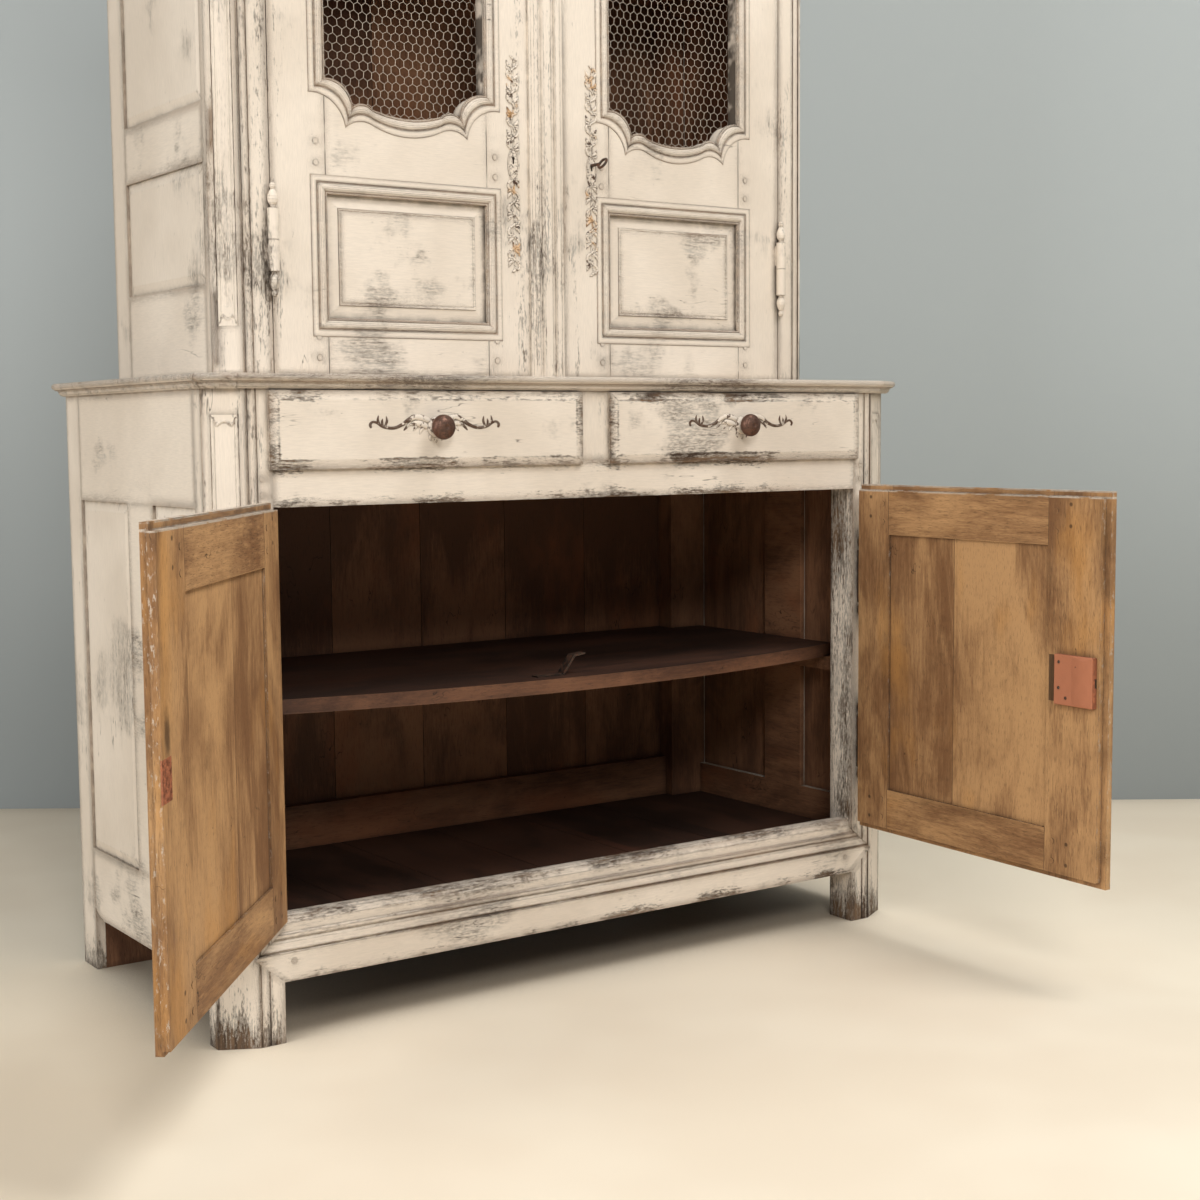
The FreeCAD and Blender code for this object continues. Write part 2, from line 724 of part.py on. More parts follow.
def make_base_inside():
    """The back, the floor, the shelf and the cleats of the lower body."""
    across = (-rear_inner, rear_inner)
    rail_y = (back_rail_front, back_board_front)
    floor_bottom = S.floor_top - S.floor_thick
    low = box("back_low", across, rail_y, (floor_bottom - S.cleat, S.floor_top + S.back_rail_height))
    high = box("back_high", across, rail_y, (carcase_top - S.back_top_rail_height, carcase_top))
    keep("base_back_rails", group("back_rails", [low, high]))
    board_y = (back_board_front, back_board_rear)
    keep(
        "base_back_boards",
        group("back_boards", boards("back_board", BACK_BOARDS, across, board_y, (floor_bottom - S.cleat, carcase_top))),
    )
    floor_z = (floor_bottom, S.floor_top)
    floor = boards("floor_board", FLOOR_BOARDS, across, (front + S.sill_thick, back_rail_front), floor_z)
    for word, side in SIDES.items():
        x = mirrored(side, rear_inner, side_inner)
        floor.append(box(word + "_floor_strip", x, (side_front, side_back), floor_z))
    keep("base_floor_boards", group("floor_boards", floor))

    cleat_z = (floor_bottom - S.cleat, floor_bottom)
    cleats = [
        box("front_cleat", (-opening_half, opening_half), (front + S.sill_thick, front + S.sill_thick + S.cleat), cleat_z),
        box("rear_cleat", across, (back_rail_front - S.cleat, back_rail_front), cleat_z),
    ]
    for word, side in SIDES.items():
        x = mirrored(side, side_inner - S.cleat, side_inner)
        cleats.append(box(word + "_floor_cleat", x, (side_front, side_back), cleat_z))
        shelf_cleat_z = (S.shelf_under - S.cleat, S.shelf_under)
        cleats.append(box(word + "_shelf_cleat", x, (side_front, side_back), shelf_cleat_z))
    keep("base_cleats", group("base_cleat_set", cleats))

    shelf = [
        (-side_inner, front + S.shelf_end_setback),
        ("arc", ZERO, front + S.shelf_mid_setback),
        (side_inner, front + S.shelf_end_setback),
        (side_inner, side_back),
        (rear_inner, side_back),
        (rear_inner, back_board_front),
        (-rear_inner, back_board_front),
        (-rear_inner, side_back),
        (-side_inner, side_back),
    ]
    shelf_top = S.shelf_under + S.shelf_thick
    keep("base_shelf", prism("shelf", "XY", shelf, S.shelf_under, shelf_top))

    foot_end = S.catch_foot - S.catch_left
    strip = [
        (-S.catch_left, shelf_top),
        (foot_end, shelf_top),
        (foot_end + S.catch_lean, shelf_top + S.catch_rise),
        (foot_end + S.catch_lean + S.catch_tip, shelf_top + S.catch_rise + S.catch_thick),
        (foot_end + S.catch_lean + S.catch_tip, shelf_top + S.catch_rise + S.catch_thick * 2),
        (foot_end + S.catch_lean - S.catch_thick, shelf_top + S.catch_rise + S.catch_thick),
        (foot_end - S.catch_thick, shelf_top + S.catch_thick),
        (-S.catch_left, shelf_top + S.catch_thick),
    ]
    catch_front = front + S.catch_back
    keep("shelf_catch", prism("catch", "XZ", strip, catch_front, catch_front + S.catch_width))


def make_runners():
    """The bearers and guides that the drawers slide on."""
    under = (apron_top - S.runner_thick, apron_top)
    over = (apron_top, apron_top + S.guide_height)
    half_divider = S.divider_width / 2
    behind_apron = front + S.rail_thick
    pieces = [
        box("middle_bearer", (-half_divider - S.runner_lap, half_divider + S.runner_lap), (behind_apron, back_rail_front), under),
        box("middle_guide", (-half_divider, half_divider), (behind_apron, back_rail_front), over),
    ]
    for word, side in SIDES.items():
        bearer = mirrored(side, opening_half - S.runner_lap, side_inner)
        guide = mirrored(side, opening_half, opening_half + S.guide_width)
        pieces.append(box(word + "_bearer", bearer, (side_front, side_back), under))
        pieces.append(box(word + "_guide", guide, (side_front, side_back), over))
    keep("drawer_runners", group("runners", pieces))


def make_top_board():
    """The board over the drawers, its corners cut like the posts and its edge stepped in below."""
    def plan(inset):
        edge = half_base + S.top_board_overhang - inset
        front_edge = front - S.top_board_overhang + inset
        rear_edge = back + S.top_board_rear - inset
        cant = edge - S.cant_width
        return [
            (-cant, front_edge),
            (cant, front_edge),
            (edge, front_edge + S.cant_depth),
            (edge, rear_edge),
            (-edge, rear_edge),
            (-edge, front_edge + S.cant_depth),
        ]
    step = base_top - S.top_board_lip
    board = prism("top_board", "XY", plan(S.top_board_step), carcase_top, step)
    keep("base_top_board", add_layer(board, "XY", plan(ZERO), step, base_top))


def disc_plate(name, shares, length, breadth, thick, x, y, z, upright):
    """A cast plate of overlapping round lobes on a strip, in front of a face at y."""
    pieces = []
    reach = shares[-1][0]
    strip = breadth * 0.2
    if upright:
        spine = box(name + "_spine", (x - strip, x + strip), (y - thick, y), (z - length * reach, z + length * reach))
    else:
        spine = box(name + "_spine", (x - length * reach, x + length * reach), (y - thick, y), (z - strip, z + strip))
    pieces.append(spine)
    for place, radius in shares:
        for end in (OPPOSITE_ENDS if place else (RIGHT,)):
            shift = length * place * end
            lobe_x = x if upright else x + shift
            lobe_z = z + shift if upright else z
            pieces.append(rod(name + "_lobe", breadth * radius, thick, lobe_x, y, lobe_z, TO_FRONT))
    return join(name, pieces)


def make_drawer(word, side):
    """One drawer: a lipped front with a bevelled field, a box of boards, and its pull."""
    x = mirrored(side, S.divider_width / 2 + S.drawer_clear, opening_half - S.drawer_clear)
    z = (apron_top + S.fit_gap, carcase_top - S.drawer_clear * 2)
    lip_x = mirrored(side, S.divider_width / 2 - S.drawer_lap, opening_half + S.drawer_lap)
    lip_z = (apron_top - S.drawer_lap, carcase_top - S.drawer_clear)
    lip_face = front - S.fit_gap - S.drawer_lip
    front_back = front + S.drawer_front_thick
    name = word + "_drawer"
    body = box(name + "_inner", x, (front - S.fit_gap, front_back), z)
    lip = box(name + "_lip", lip_x, (lip_face, front - S.fit_gap), lip_z)
    field = frustum(name + "_field", lip_face, lip_face - S.drawer_field_rise, lip_x, lip_z, S.drawer_field_bevel)
    middle_x = (x[0] + x[1]) / 2
    middle_z = (z[0] + z[1]) / 2
    face = lip_face - S.drawer_field_rise

    shank = [
        (ZERO, -S.drawer_front_thick),
        (S.knob_shank_radius, -S.drawer_front_thick),
        (S.knob_shank_radius, S.pull_thick),
    ]
    head = [(S.knob_radius * wide, along(S.pull_thick, S.knob_height, high)) for wide, high in KNOB_SHARES]
    knob = turned(name + "_knob", shank + head)
    knob.Placement.Rotation = TO_FRONT
    bind_base(knob, middle_x, face, middle_z)
    plate = disc_plate(name + "_plate", PULL_DISC_SHARES, S.pull_width, S.pull_height, S.pull_thick,
                       middle_x, face, middle_z, False)
    pull_plate = carve(name + "_plate_bored", plate, [knob])
    keep(word + "_drawer_pull", group(name + "_pull", [pull_plate, knob]))
    keep(word + "_drawer_front", carve(name + "_front", join(name + "_front_blank", [body, lip, field]), [knob]))

    wall_z = (z[0], z[0] + S.drawer_wall_height)
    box_back = front_back + S.drawer_length
    walls_y = (front_back, box_back)
    inner_x = (x[0] + S.drawer_side_thick, x[1] - S.drawer_side_thick)
    bottom_z = (z[0] + S.drawer_bottom_lift, z[0] + S.drawer_bottom_lift + S.drawer_bottom_thick)
    inner_back = box_back - S.drawer_side_thick
    pieces = [
        box(name + "_left_side", (x[0], inner_x[0]), walls_y, wall_z),
        box(name + "_right_side", (inner_x[1], x[1]), walls_y, wall_z),
        box(name + "_rear", inner_x, (inner_back, box_back), wall_z),
        box(name + "_bottom", inner_x, (front_back, inner_back), bottom_z),
    ]
    keep(word + "_drawer_box", group(name + "_box", pieces))


def finial(radius, base, length, way):
    """Points of a turned end ornament that grows up or down from its base."""
    return [(radius * wide, base + length * high * way) for wide, high in FINIAL_SHARES]


def hinge(name, radius, x, y, z, fixed_leaf, moving_leaf):
    """A driven hinge: a fixed lower knuckle with a pin, and an upper knuckle that drops on it.
    Each leaf is given as its (low, high) places along X and Y."""
    half_gap = S.fit_gap / 2
    lower = [
        (ZERO, S.pin_length),
        (S.pin_radius, S.pin_length),
        (S.pin_radius, -half_gap),
        (radius, -half_gap),
        (radius, -S.knuckle_length),
    ] + finial(radius, -S.knuckle_length, S.finial_length, -1)
    bore = S.pin_radius + S.pin_clear
    bore_top = S.pin_length + S.pin_clear
    upper = finial(radius, S.knuckle_length, S.finial_length, 1)
    upper = [(bore, half_gap), (radius, half_gap), (radius, S.knuckle_length)] + upper
    upper += [(ZERO, bore_top), (bore, bore_top)]
    halves = []
    for part, points, leaf, way in (("fixed", lower, fixed_leaf, -1), ("moving", upper, moving_leaf, 1)):
        knuckle = turned(f"{name}_{part}_knuckle", points)
        bind_base(knuckle, x, y, z)
        middle = z + S.knuckle_length / 2 * way
        height = (middle - S.leaf_height / 2, middle + S.leaf_height / 2)
        plate = box(f"{name}_{part}_leaf", leaf[0], leaf[1], height)
        if part == "moving":
            clear = rod(f"{name}_{part}_clear", bore, S.knuckle_length, x, y, z)
            plate = carve(f"{name}_{part}_leaf_cut", plate, [clear])
        halves.append(join(f"{name}_{part}", [knuckle, plate]))
    return halves


def swing(node, thing, side):
    """Turn a sub-part of a lower door from shut to where it stands open."""
    turn = 360 - S.left_door_open if side == LEFT else S.right_door_open
    x = side * lower_axis_x
    y = lower_axis_y
    cosine = f"cos({turn.text} * 1 deg)"
    sine = f"sin({turn.text} * 1 deg)"
    opened = group(node + "_open", [thing])
    opened.Placement.Rotation = FreeCAD.Rotation(ABOUT_Z, turn.value)
    opened.setExpression("Placement.Rotation.Angle", f"{turn.text} * 1 deg")
    opened.setExpression("Placement.Base.x", f"{x.text} - ({x.text} * {cosine} - {y.text} * {sine})")
    opened.setExpression("Placement.Base.y", f"{y.text} - ({x.text} * {sine} + {y.text} * {cosine})")
    return keep(node, opened)


lower_axis_x = opening_half + S.lower_axis_out
lower_axis_y = front - S.fit_gap - S.lower_barrel_radius


def lipped(name, x, z, lip_x, lip_z):
    """A door member: a part that enters the opening, and a lip that laps over its frame."""
    face = front - S.fit_gap
    inner = box(name + "_inner", x, (face, front + S.lower_door_thick), z)
    lip = box(name + "_lip", lip_x, (face - S.lower_lip_thick, face), lip_z)
    return join(name, [inner, lip])


def make_lower_door(word, side):
    """One lower door, made shut and then turned open."""
    name = "lower_" + word
    hinge_edge = opening_half - S.lower_door_clear
    free_edge = S.lower_door_clear / 2
    lip_hinge = lower_axis_x - S.lower_barrel_radius - S.lower_door_clear / 2
    # the right door's lip laps over the left door, whose own lip stops short of it
    lap = S.lower_meeting_lap
    lip_free = free_edge - lap if side == RIGHT else free_edge + lap + S.lower_door_clear
    bottom = sill_top + S.lower_door_clear
    top = apron_bottom - S.lower_door_clear
    lip_bottom = bottom - S.lower_lip_lap
    lip_top = top + S.lower_lip_lap
    stile_in = hinge_edge - S.lower_hinge_stile
    meet_in = free_edge + S.lower_meeting_stile
    rail_bottom = bottom + S.lower_bottom_rail
    rail_top = top - S.lower_top_rail
    full_z = (bottom, top)
    lip_full_z = (lip_bottom, lip_top)

    hinge_stile = lipped(name + "_hinge_stile", mirrored(side, stile_in, hinge_edge), full_z,
                         mirrored(side, stile_in, lip_hinge), lip_full_z)
    meeting_stile = lipped(name + "_meeting_stile", mirrored(side, free_edge, meet_in), full_z,
                           mirrored(side, lip_free, meet_in), lip_full_z)
    rail_x = mirrored(side, meet_in, stile_in)
    top_rail = lipped(name + "_top_rail", rail_x, (rail_top, top), rail_x, (rail_top, lip_top))
    low_rail = lipped(name + "_low_rail", rail_x, (bottom, rail_bottom), rail_x, (lip_bottom, rail_bottom))
    middle_y = front
    tenon_x = mirrored(side, meet_in - S.tenon_length, stile_in + S.tenon_length)
    tenon_y = (middle_y - S.tenon_thick / 2, middle_y + S.tenon_thick / 2)
    rails = []
    for part, rail, low, high in (("top", top_rail, rail_top, top), ("low", low_rail, bottom, rail_bottom)):
        tenon_z = (low + S.tenon_shoulder, high - S.tenon_shoulder)
        rails.append(join(f"{name}_{part}_rail_tenoned", [rail, box(f"{name}_{part}_tenon", tenon_x, tenon_y, tenon_z)]))

    slab_front = front + S.lower_door_thick - S.lower_door_panel - S.panel_rise
    slab_back = front + S.lower_door_thick - S.panel_rise
    open_z = (rail_bottom, rail_top)
    slab = box(name + "_slab", (rail_x[0] - S.tongue, rail_x[1] + S.tongue), (slab_front, slab_back),
               (open_z[0] - S.tongue, open_z[1] + S.tongue))
    field_front = slab_front - S.panel_rise
    raised = frustum(name + "_field", slab_front, field_front, rail_x, open_z, S.panel_bevel)
    panel = join(name + "_panel", [slab, raised])

    pegs = []
    for height in ((bottom + rail_bottom) / 2, (rail_top + top) / 2):
        for place in (stile_in + S.peg_inset, meet_in - S.peg_inset):
            for shift in OPPOSITE_ENDS:
                start = front + S.lower_door_thick + S.peg_proud
                length = S.lower_door_thick + S.lower_lip_thick + S.fit_gap + S.peg_proud * 2
                up = height + S.peg_inset * shift
                pegs.append(rod(name + "_peg", S.peg_radius, length, side * place, start, up, TO_FRONT))
    inner = front + S.lower_door_thick
    if side == LEFT:
        # rebated under the right door's lip, with the keeper let in
        rebate = box("rebate", (-lip_free, -free_edge), (front - S.fit_gap, front + S.fit_gap), lip_full_z)
        keeper_z = (S.lower_lock_height - S.keeper_height / 2, S.lower_lock_height + S.keeper_height / 2)
        keeper_x = (-free_edge - S.keeper_width, -free_edge)
        keeper = box("keeper", keeper_x, (inner - S.keeper_thick, inner), keeper_z)
        swing("lower_left_keeper", keeper, LEFT)
        fitted = [rebate, keeper]
    else:
        hole_x = free_edge + S.lock_edge + S.lower_key_inset
        hole_z = S.lower_lock_height - S.key_drop
        through = S.lower_door_thick * 4
        fitted = [rod("lower_key_hole", S.key_hole_radius, through, hole_x, front + through / 2, hole_z, TO_FRONT)]
    stiles = [carve(f"{name}_stile_{order}", stile, rails + [panel] + pegs + fitted)
              for order, stile in enumerate((hinge_stile, meeting_stile))]
    cut_rails = [carve(f"{name}_rail_{order}", rail, [panel] + pegs) for order, rail in enumerate(rails)]
    swing(name + "_frame", group(name + "_members", stiles + cut_rails + pegs), side)
    swing(name + "_panel", panel, side)

    x = side * lower_axis_x
    leaf_y = (lower_axis_y - S.leaf_thick / 2, lower_axis_y + S.leaf_thick / 2)
    leaf_x = mirrored(side, lower_axis_x - S.lower_barrel_radius * 0.9 - S.leaf_depth, lower_axis_x)
    post_leaf = mirrored(side, lower_axis_x + S.leaf_offset, lower_axis_x + S.leaf_offset + S.leaf_thick)
    post_leaf_y = (lower_axis_y, front + S.leaf_depth)
    fixed = []
    moving = []
    for level, height in (("low", S.lower_hinge_low), ("high", S.lower_hinge_high)):
        halves = hinge(f"{name}_{level}_hinge", S.lower_barrel_radius, x, lower_axis_y, height,
                       (post_leaf, post_leaf_y), (leaf_x, leaf_y))
        fixed.append(halves[0])
        moving.append(halves[1])
    swing(name + "_knuckles", group(name + "_moving_halves", moving), side)
    return fixed


def lock_case(name, x, y, z, slot_z, slot_y, free_is_low):
    """A sheet-iron case with a slot in its free edge for the bolt."""
    wall = S.lock_case_wall
    hollow = box(name + "_hollow", (x[0] + wall, x[1] - wall), (y[0], y[1] - wall), (z[0] + wall, z[1] - wall))
    outside = box(name + "_outside", x, y, z)
    slot_x = (x[0] - wall, x[0] + wall * 2) if free_is_low else (x[1] - wall * 2, x[1] + wall)
    slot = box(name + "_slot", slot_x, slot_y, slot_z)
    return carve(name, outside, [hollow, slot])


def make_lower_lock():
    """The lock on the back of the right door, and its bolt."""
    inner = front + S.lower_door_thick
    x0 = S.lower_door_clear / 2 + S.lock_edge
    case_x = (x0, x0 + S.lock_case_width)
    z = (S.lower_lock_height - S.lock_case_height / 2, S.lower_lock_height + S.lock_case_height / 2)
    case_y = (inner, inner + S.lock_case_depth)
    clear = S.pin_clear
    bolt_z = (S.lower_lock_height - S.bolt_height / 2, S.lower_lock_height + S.bolt_height / 2)
    bolt_y0 = inner + clear
    bolt_y = (bolt_y0, bolt_y0 + S.bolt_thick)
    slot_z = (bolt_z[0] - clear, bolt_z[1] + clear)
    slot_y = (inner, bolt_y[1] + clear)
    case = lock_case("lower_case", case_x, case_y, z, slot_z, slot_y, True)
    swing("lower_lock_case", case, RIGHT)
    bolt = box("lower_bolt", (x0, x0 + S.bolt_length), bolt_y, bolt_z)
    swing("lower_lock_bolt", bolt, RIGHT)


def make_upper_frame():
    """The upper body's posts, side frames and front rail."""
    bottom = base_top
    rail_z = (upper_top - S.upper_body_height + S.upper_door_lift * 2 + S.upper_door_height, upper_top)
    across = (-upper_opening_half, upper_opening_half)
    frieze = tenoned("frieze", across, (upper_front, upper_front + S.upper_door_thick), rail_z, "X")
    keep("upper_frieze_rail", frieze)
    low_top = bottom + S.upper_side_bottom_rail
    mid_low = low_top + S.upper_side_low_panel
    mid_high = mid_low + S.upper_side_mid_rail
    top_low = upper_top - S.upper_side_top_rail
    span = (upper_side_front, upper_side_back)
    rails = []
    panels = []
    rears = []
    for word, side in SIDES.items():
        x = mirrored(side, upper_side_inner, half_upper)
        members = []
        for part, z in (("low", (bottom, low_top)), ("mid", (mid_low, mid_high)), ("top", (top_low, upper_top))):
            members.append(tenoned(f"upper_{word}_{part}_rail", x, span, z, "Y", S.side_tenon_length))
        low_panel = side_panel(f"upper_{word}_low_panel", side, half_upper, span, (low_top, mid_low))
        high_panel = side_panel(f"upper_{word}_high_panel", side, half_upper, span, (mid_high, top_low))
        pair = [low_panel, high_panel]
        rails += [carve(f"upper_{word}_rail_{order}", rail, pair) for order, rail in enumerate(members)]
        panels += pair
        blank = canted_post(
            f"upper_{word}_front_blank", side, upper_opening_half, half_upper, upper_front, upper_side_front,
            S.upper_cant_width, S.upper_cant_depth, S.upper_bead_width, bottom, upper_top,
        )
        sunk = sunk_panel(f"upper_{word}_sunk_panel", side, half_upper, upper_front, S.upper_cant_width,
                          S.upper_cant_depth, base_top + S.upper_cant_panel_low, upper_top - S.upper_cant_panel_low)
        tools = members + pair + [frieze, sunk]
        keep(f"upper_front_post_{word}", carve(f"upper_{word}_front_post", blank, tools))
        rear = box(f"upper_{word}_rear_blank", mirrored(side, upper_rear_inner, half_upper),
                   (upper_side_back, upper_back), (bottom, upper_top))
        rears.append(carve(f"upper_{word}_rear_post", rear, members + pair))
    keep("upper_side_rails", group("upper_side_rail_set", rails))
    keep("upper_side_panels", group("upper_side_panel_set", panels))
    keep("upper_rear_posts", group("upper_rear_post_set", rears))


def notched_board(name, front_half, y_front, y_notch, y_back, low, high):
    """A board that fills the upper body between the side frames, cut round the four posts."""
    plan = [
        (-front_half, y_front),
        (front_half, y_front),
        (front_half, y_notch),
        (upper_side_inner, y_notch),
        (upper_side_inner, upper_side_back),
        (upper_rear_inner, upper_side_back),
        (upper_rear_inner, y_back),
        (-upper_rear_inner, y_back),
        (-upper_rear_inner, upper_side_back),
        (-upper_side_inner, upper_side_back),
        (-upper_side_inner, y_notch),
        (-front_half, y_notch),
    ]
    return prism(name, "XY", plan, low, high)


def make_upper_inside():
    """The boards that close the upper body, and its shelves."""
    behind_doors = upper_front + S.upper_door_thick + S.upper_door_gap
    floor = notched_board("upper_floor", upper_opening_half, behind_doors, upper_side_front, upper_board_front,
                          base_top, base_top + S.upper_floor_thick)
    keep("upper_floor_board", floor)
    roof = notched_board("upper_roof", upper_opening_half, upper_front + S.upper_door_thick, upper_side_front,
                         upper_board_front, upper_top - S.roof_thick, upper_top)
    keep("upper_roof_board", roof)
    across = (-upper_rear_inner, upper_rear_inner)
    planks = boards("upper_back_board", UPPER_BACK_BOARDS, across, (upper_board_front, upper_board_rear),
                    (base_top, upper_top))
    keep("upper_back_boards", group("upper_back_board_set", planks))
    shelf_front = upper_side_front + S.upper_shelf_setback
    shelves = []
    cleats = []
    for level, under in (("low", S.upper_shelf_low), ("high", S.upper_shelf_high)):
        plan = [
            (-upper_side_inner, shelf_front),
            (upper_side_inner, shelf_front),
            (upper_side_inner, upper_side_back),
            (upper_rear_inner, upper_side_back),
            (upper_rear_inner, upper_board_front),
            (-upper_rear_inner, upper_board_front),
            (-upper_rear_inner, upper_side_back),
            (-upper_side_inner, upper_side_back),
        ]
        shelves.append(prism(f"upper_{level}_shelf", "XY", plan, under, under + S.upper_shelf_thick))
        for word, side in SIDES.items():
            x = mirrored(side, upper_side_inner - S.cleat, upper_side_inner)
            cleat = box(f"upper_{level}_{word}_cleat", x, (upper_side_front, upper_side_back), (under - S.cleat, under))
            cleats.append(cleat)
    keep("upper_shelves", group("upper_shelf_set", shelves))
    keep("upper_cleats", group("upper_cleat_set", cleats))


def make_cornice():
    """The cornice: five mitred lengths round the front and sides, and a frame on the roof."""
    cant = half_upper - S.upper_cant_width
    y_cant = upper_front + S.upper_cant_depth
    corners = [
        (-half_upper, upper_back), (-half_upper, y_cant), (-cant, upper_front),
        (cant, upper_front), (half_upper, y_cant), (half_upper, upper_back),
    ]
    flat = [FreeCAD.Vector(x.value, y.value, 0) for x, y in corners]
    ways = [(after - here).normalize() for here, after in zip(flat, flat[1:])]
    outward = [FreeCAD.Vector(way.y, -way.x, 0) for way in ways]
    spreads = [outward[0]]
    for one, other in zip(outward, outward[1:]):
        both = one + other
        spreads.append(both * (2 / both.Length ** 2))
    spreads.append(outward[-1])
    low = upper_top.value - S.cornice_drop.value
    reach = S.cornice_reach.value
    height = S.cornice_height.value
    frame = S.cornice_frame.value

    def section(order):
        base = flat[order]
        spread = spreads[order]
        points = [base + spread * (reach * out) + FreeCAD.Vector(0, 0, low + height * up)
                  for out, up in CORNICE_SHARES]
        top = FreeCAD.Vector(0, 0, low + height)
        seat = FreeCAD.Vector(0, 0, upper_top.value)
        points.append(base - spread * frame + top)
        points.append(base - spread * frame + seat)
        points.append(base + seat)
        return Part.makePolygon(points + points[:1])

    runs = [Part.makeLoft([section(order), section(order + 1)], True, True) for order in range(len(ways))]
    cornice = DOC.addObject("Part::Feature", "cornice")
    cornice.Shape = Part.makeCompound(runs)
    keep("upper_cornice", cornice)


def serpentine(low_x, high_x, low_z, rise, upside_down):
    """The shaped edge of a rail as edges from left to right: an ear at each end, two cusps,
    and a shallow sweep between them."""
    wide = high_x - low_x
    way = -1 if upside_down else 1

    def place(share):
        return FreeCAD.Vector(low_x + wide * share[-2], 0, low_z + rise * share[-1] * way)

    half = [(len(share) == 3, place(share)) for share in SERPENTINE_SHARES]
    middle = FreeCAD.Vector(low_x + wide / 2, 0, 0)
    turned_over = [(bent, FreeCAD.Vector(2 * middle.x - point.x, 0, point.z)) for bent, point in reversed(half[:-1])]
    points = half + turned_over
    edges = []
    for order, (bent, point) in enumerate(points):
        if bent:
            edges.append(Part.Arc(points[order - 1][1], point, points[order + 1][1]).toShape())
    return edges


def shaped_rail(name, x, y, flat_z, low_z, upside_down):
    """A rail whose one edge is straight and the other follows the serpentine line."""
    edges = serpentine(x[0].value, x[1].value, low_z.value, S.serpentine_rise.value, upside_down)
    first = edges[0].firstVertex(True).Point
    last = edges[-1].lastVertex(True).Point
    corner_high = FreeCAD.Vector(last.x, 0, flat_z.value)
    corner_low = FreeCAD.Vector(first.x, 0, flat_z.value)
    edges.append(Part.makeLine(last, corner_high))
    edges.append(Part.makeLine(corner_high, corner_low))
    edges.append(Part.makeLine(corner_low, first))
    face = Part.Face(Part.Wire(Part.__sortEdges__(edges)))
    rail = DOC.addObject("Part::Feature", name)
    rail.Shape = face.extrude(FreeCAD.Vector(0, y[1].value - y[0].value, 0))
    rail.setExpression("Placement.Base.y", y[0].text)
    return rail


def six_sided_gap(middle, radius):
    """A six-sided wire in the XZ plane with a corner at the top."""
    spoke = FreeCAD.Vector(0, 0, radius)
    turn = FreeCAD.Rotation(ABOUT_Y, 60)
    points = []
    for _ in range(6):
        points.append(middle + spoke)
        spoke = turn.multVec(spoke)
    return Part.makePolygon(points + points[:1])


def wire_mesh(name, x, z, y):
    """A flat net of six-sided gaps: one face with holes, given a thickness."""
    low = FreeCAD.Vector(x[0].value - S.mesh_lap.value, 0, z[0].value - S.mesh_lap.value)
    high = FreeCAD.Vector(x[1].value + S.mesh_lap.value, 0, z[1].value + S.mesh_lap.value)
    outer = Part.makePolygon([
        low, FreeCAD.Vector(high.x, 0, low.z), high, FreeCAD.Vector(low.x, 0, high.z), low,
    ])
    cell = S.mesh_cell.value
    radius = (cell - S.mesh_wire.value) / 3 ** 0.5
    row_step = cell * 3 ** 0.5 / 2
    rows = int((high.z - low.z - cell) / row_step)
    columns = int((high.x - low.x - cell) / cell)
    start_z = (low.z + high.z - (rows - 1) * row_step) / 2
    holes = []
    for row in range(rows):
        in_row = columns - row % 2
        start_x = (low.x + high.x - (in_row - 1) * cell) / 2
        for column in range(in_row):
            middle = FreeCAD.Vector(start_x + column * cell, 0, start_z + row * row_step)
            holes.append(six_sided_gap(middle, radius))
    face = Part.Face([outer] + holes)
    net = DOC.addObject("Part::Feature", name)
    net.Shape = face.extrude(FreeCAD.Vector(0, S.mesh_thick.value, 0))
    net.setExpression("Placement.Base.y", y.text)
    return net


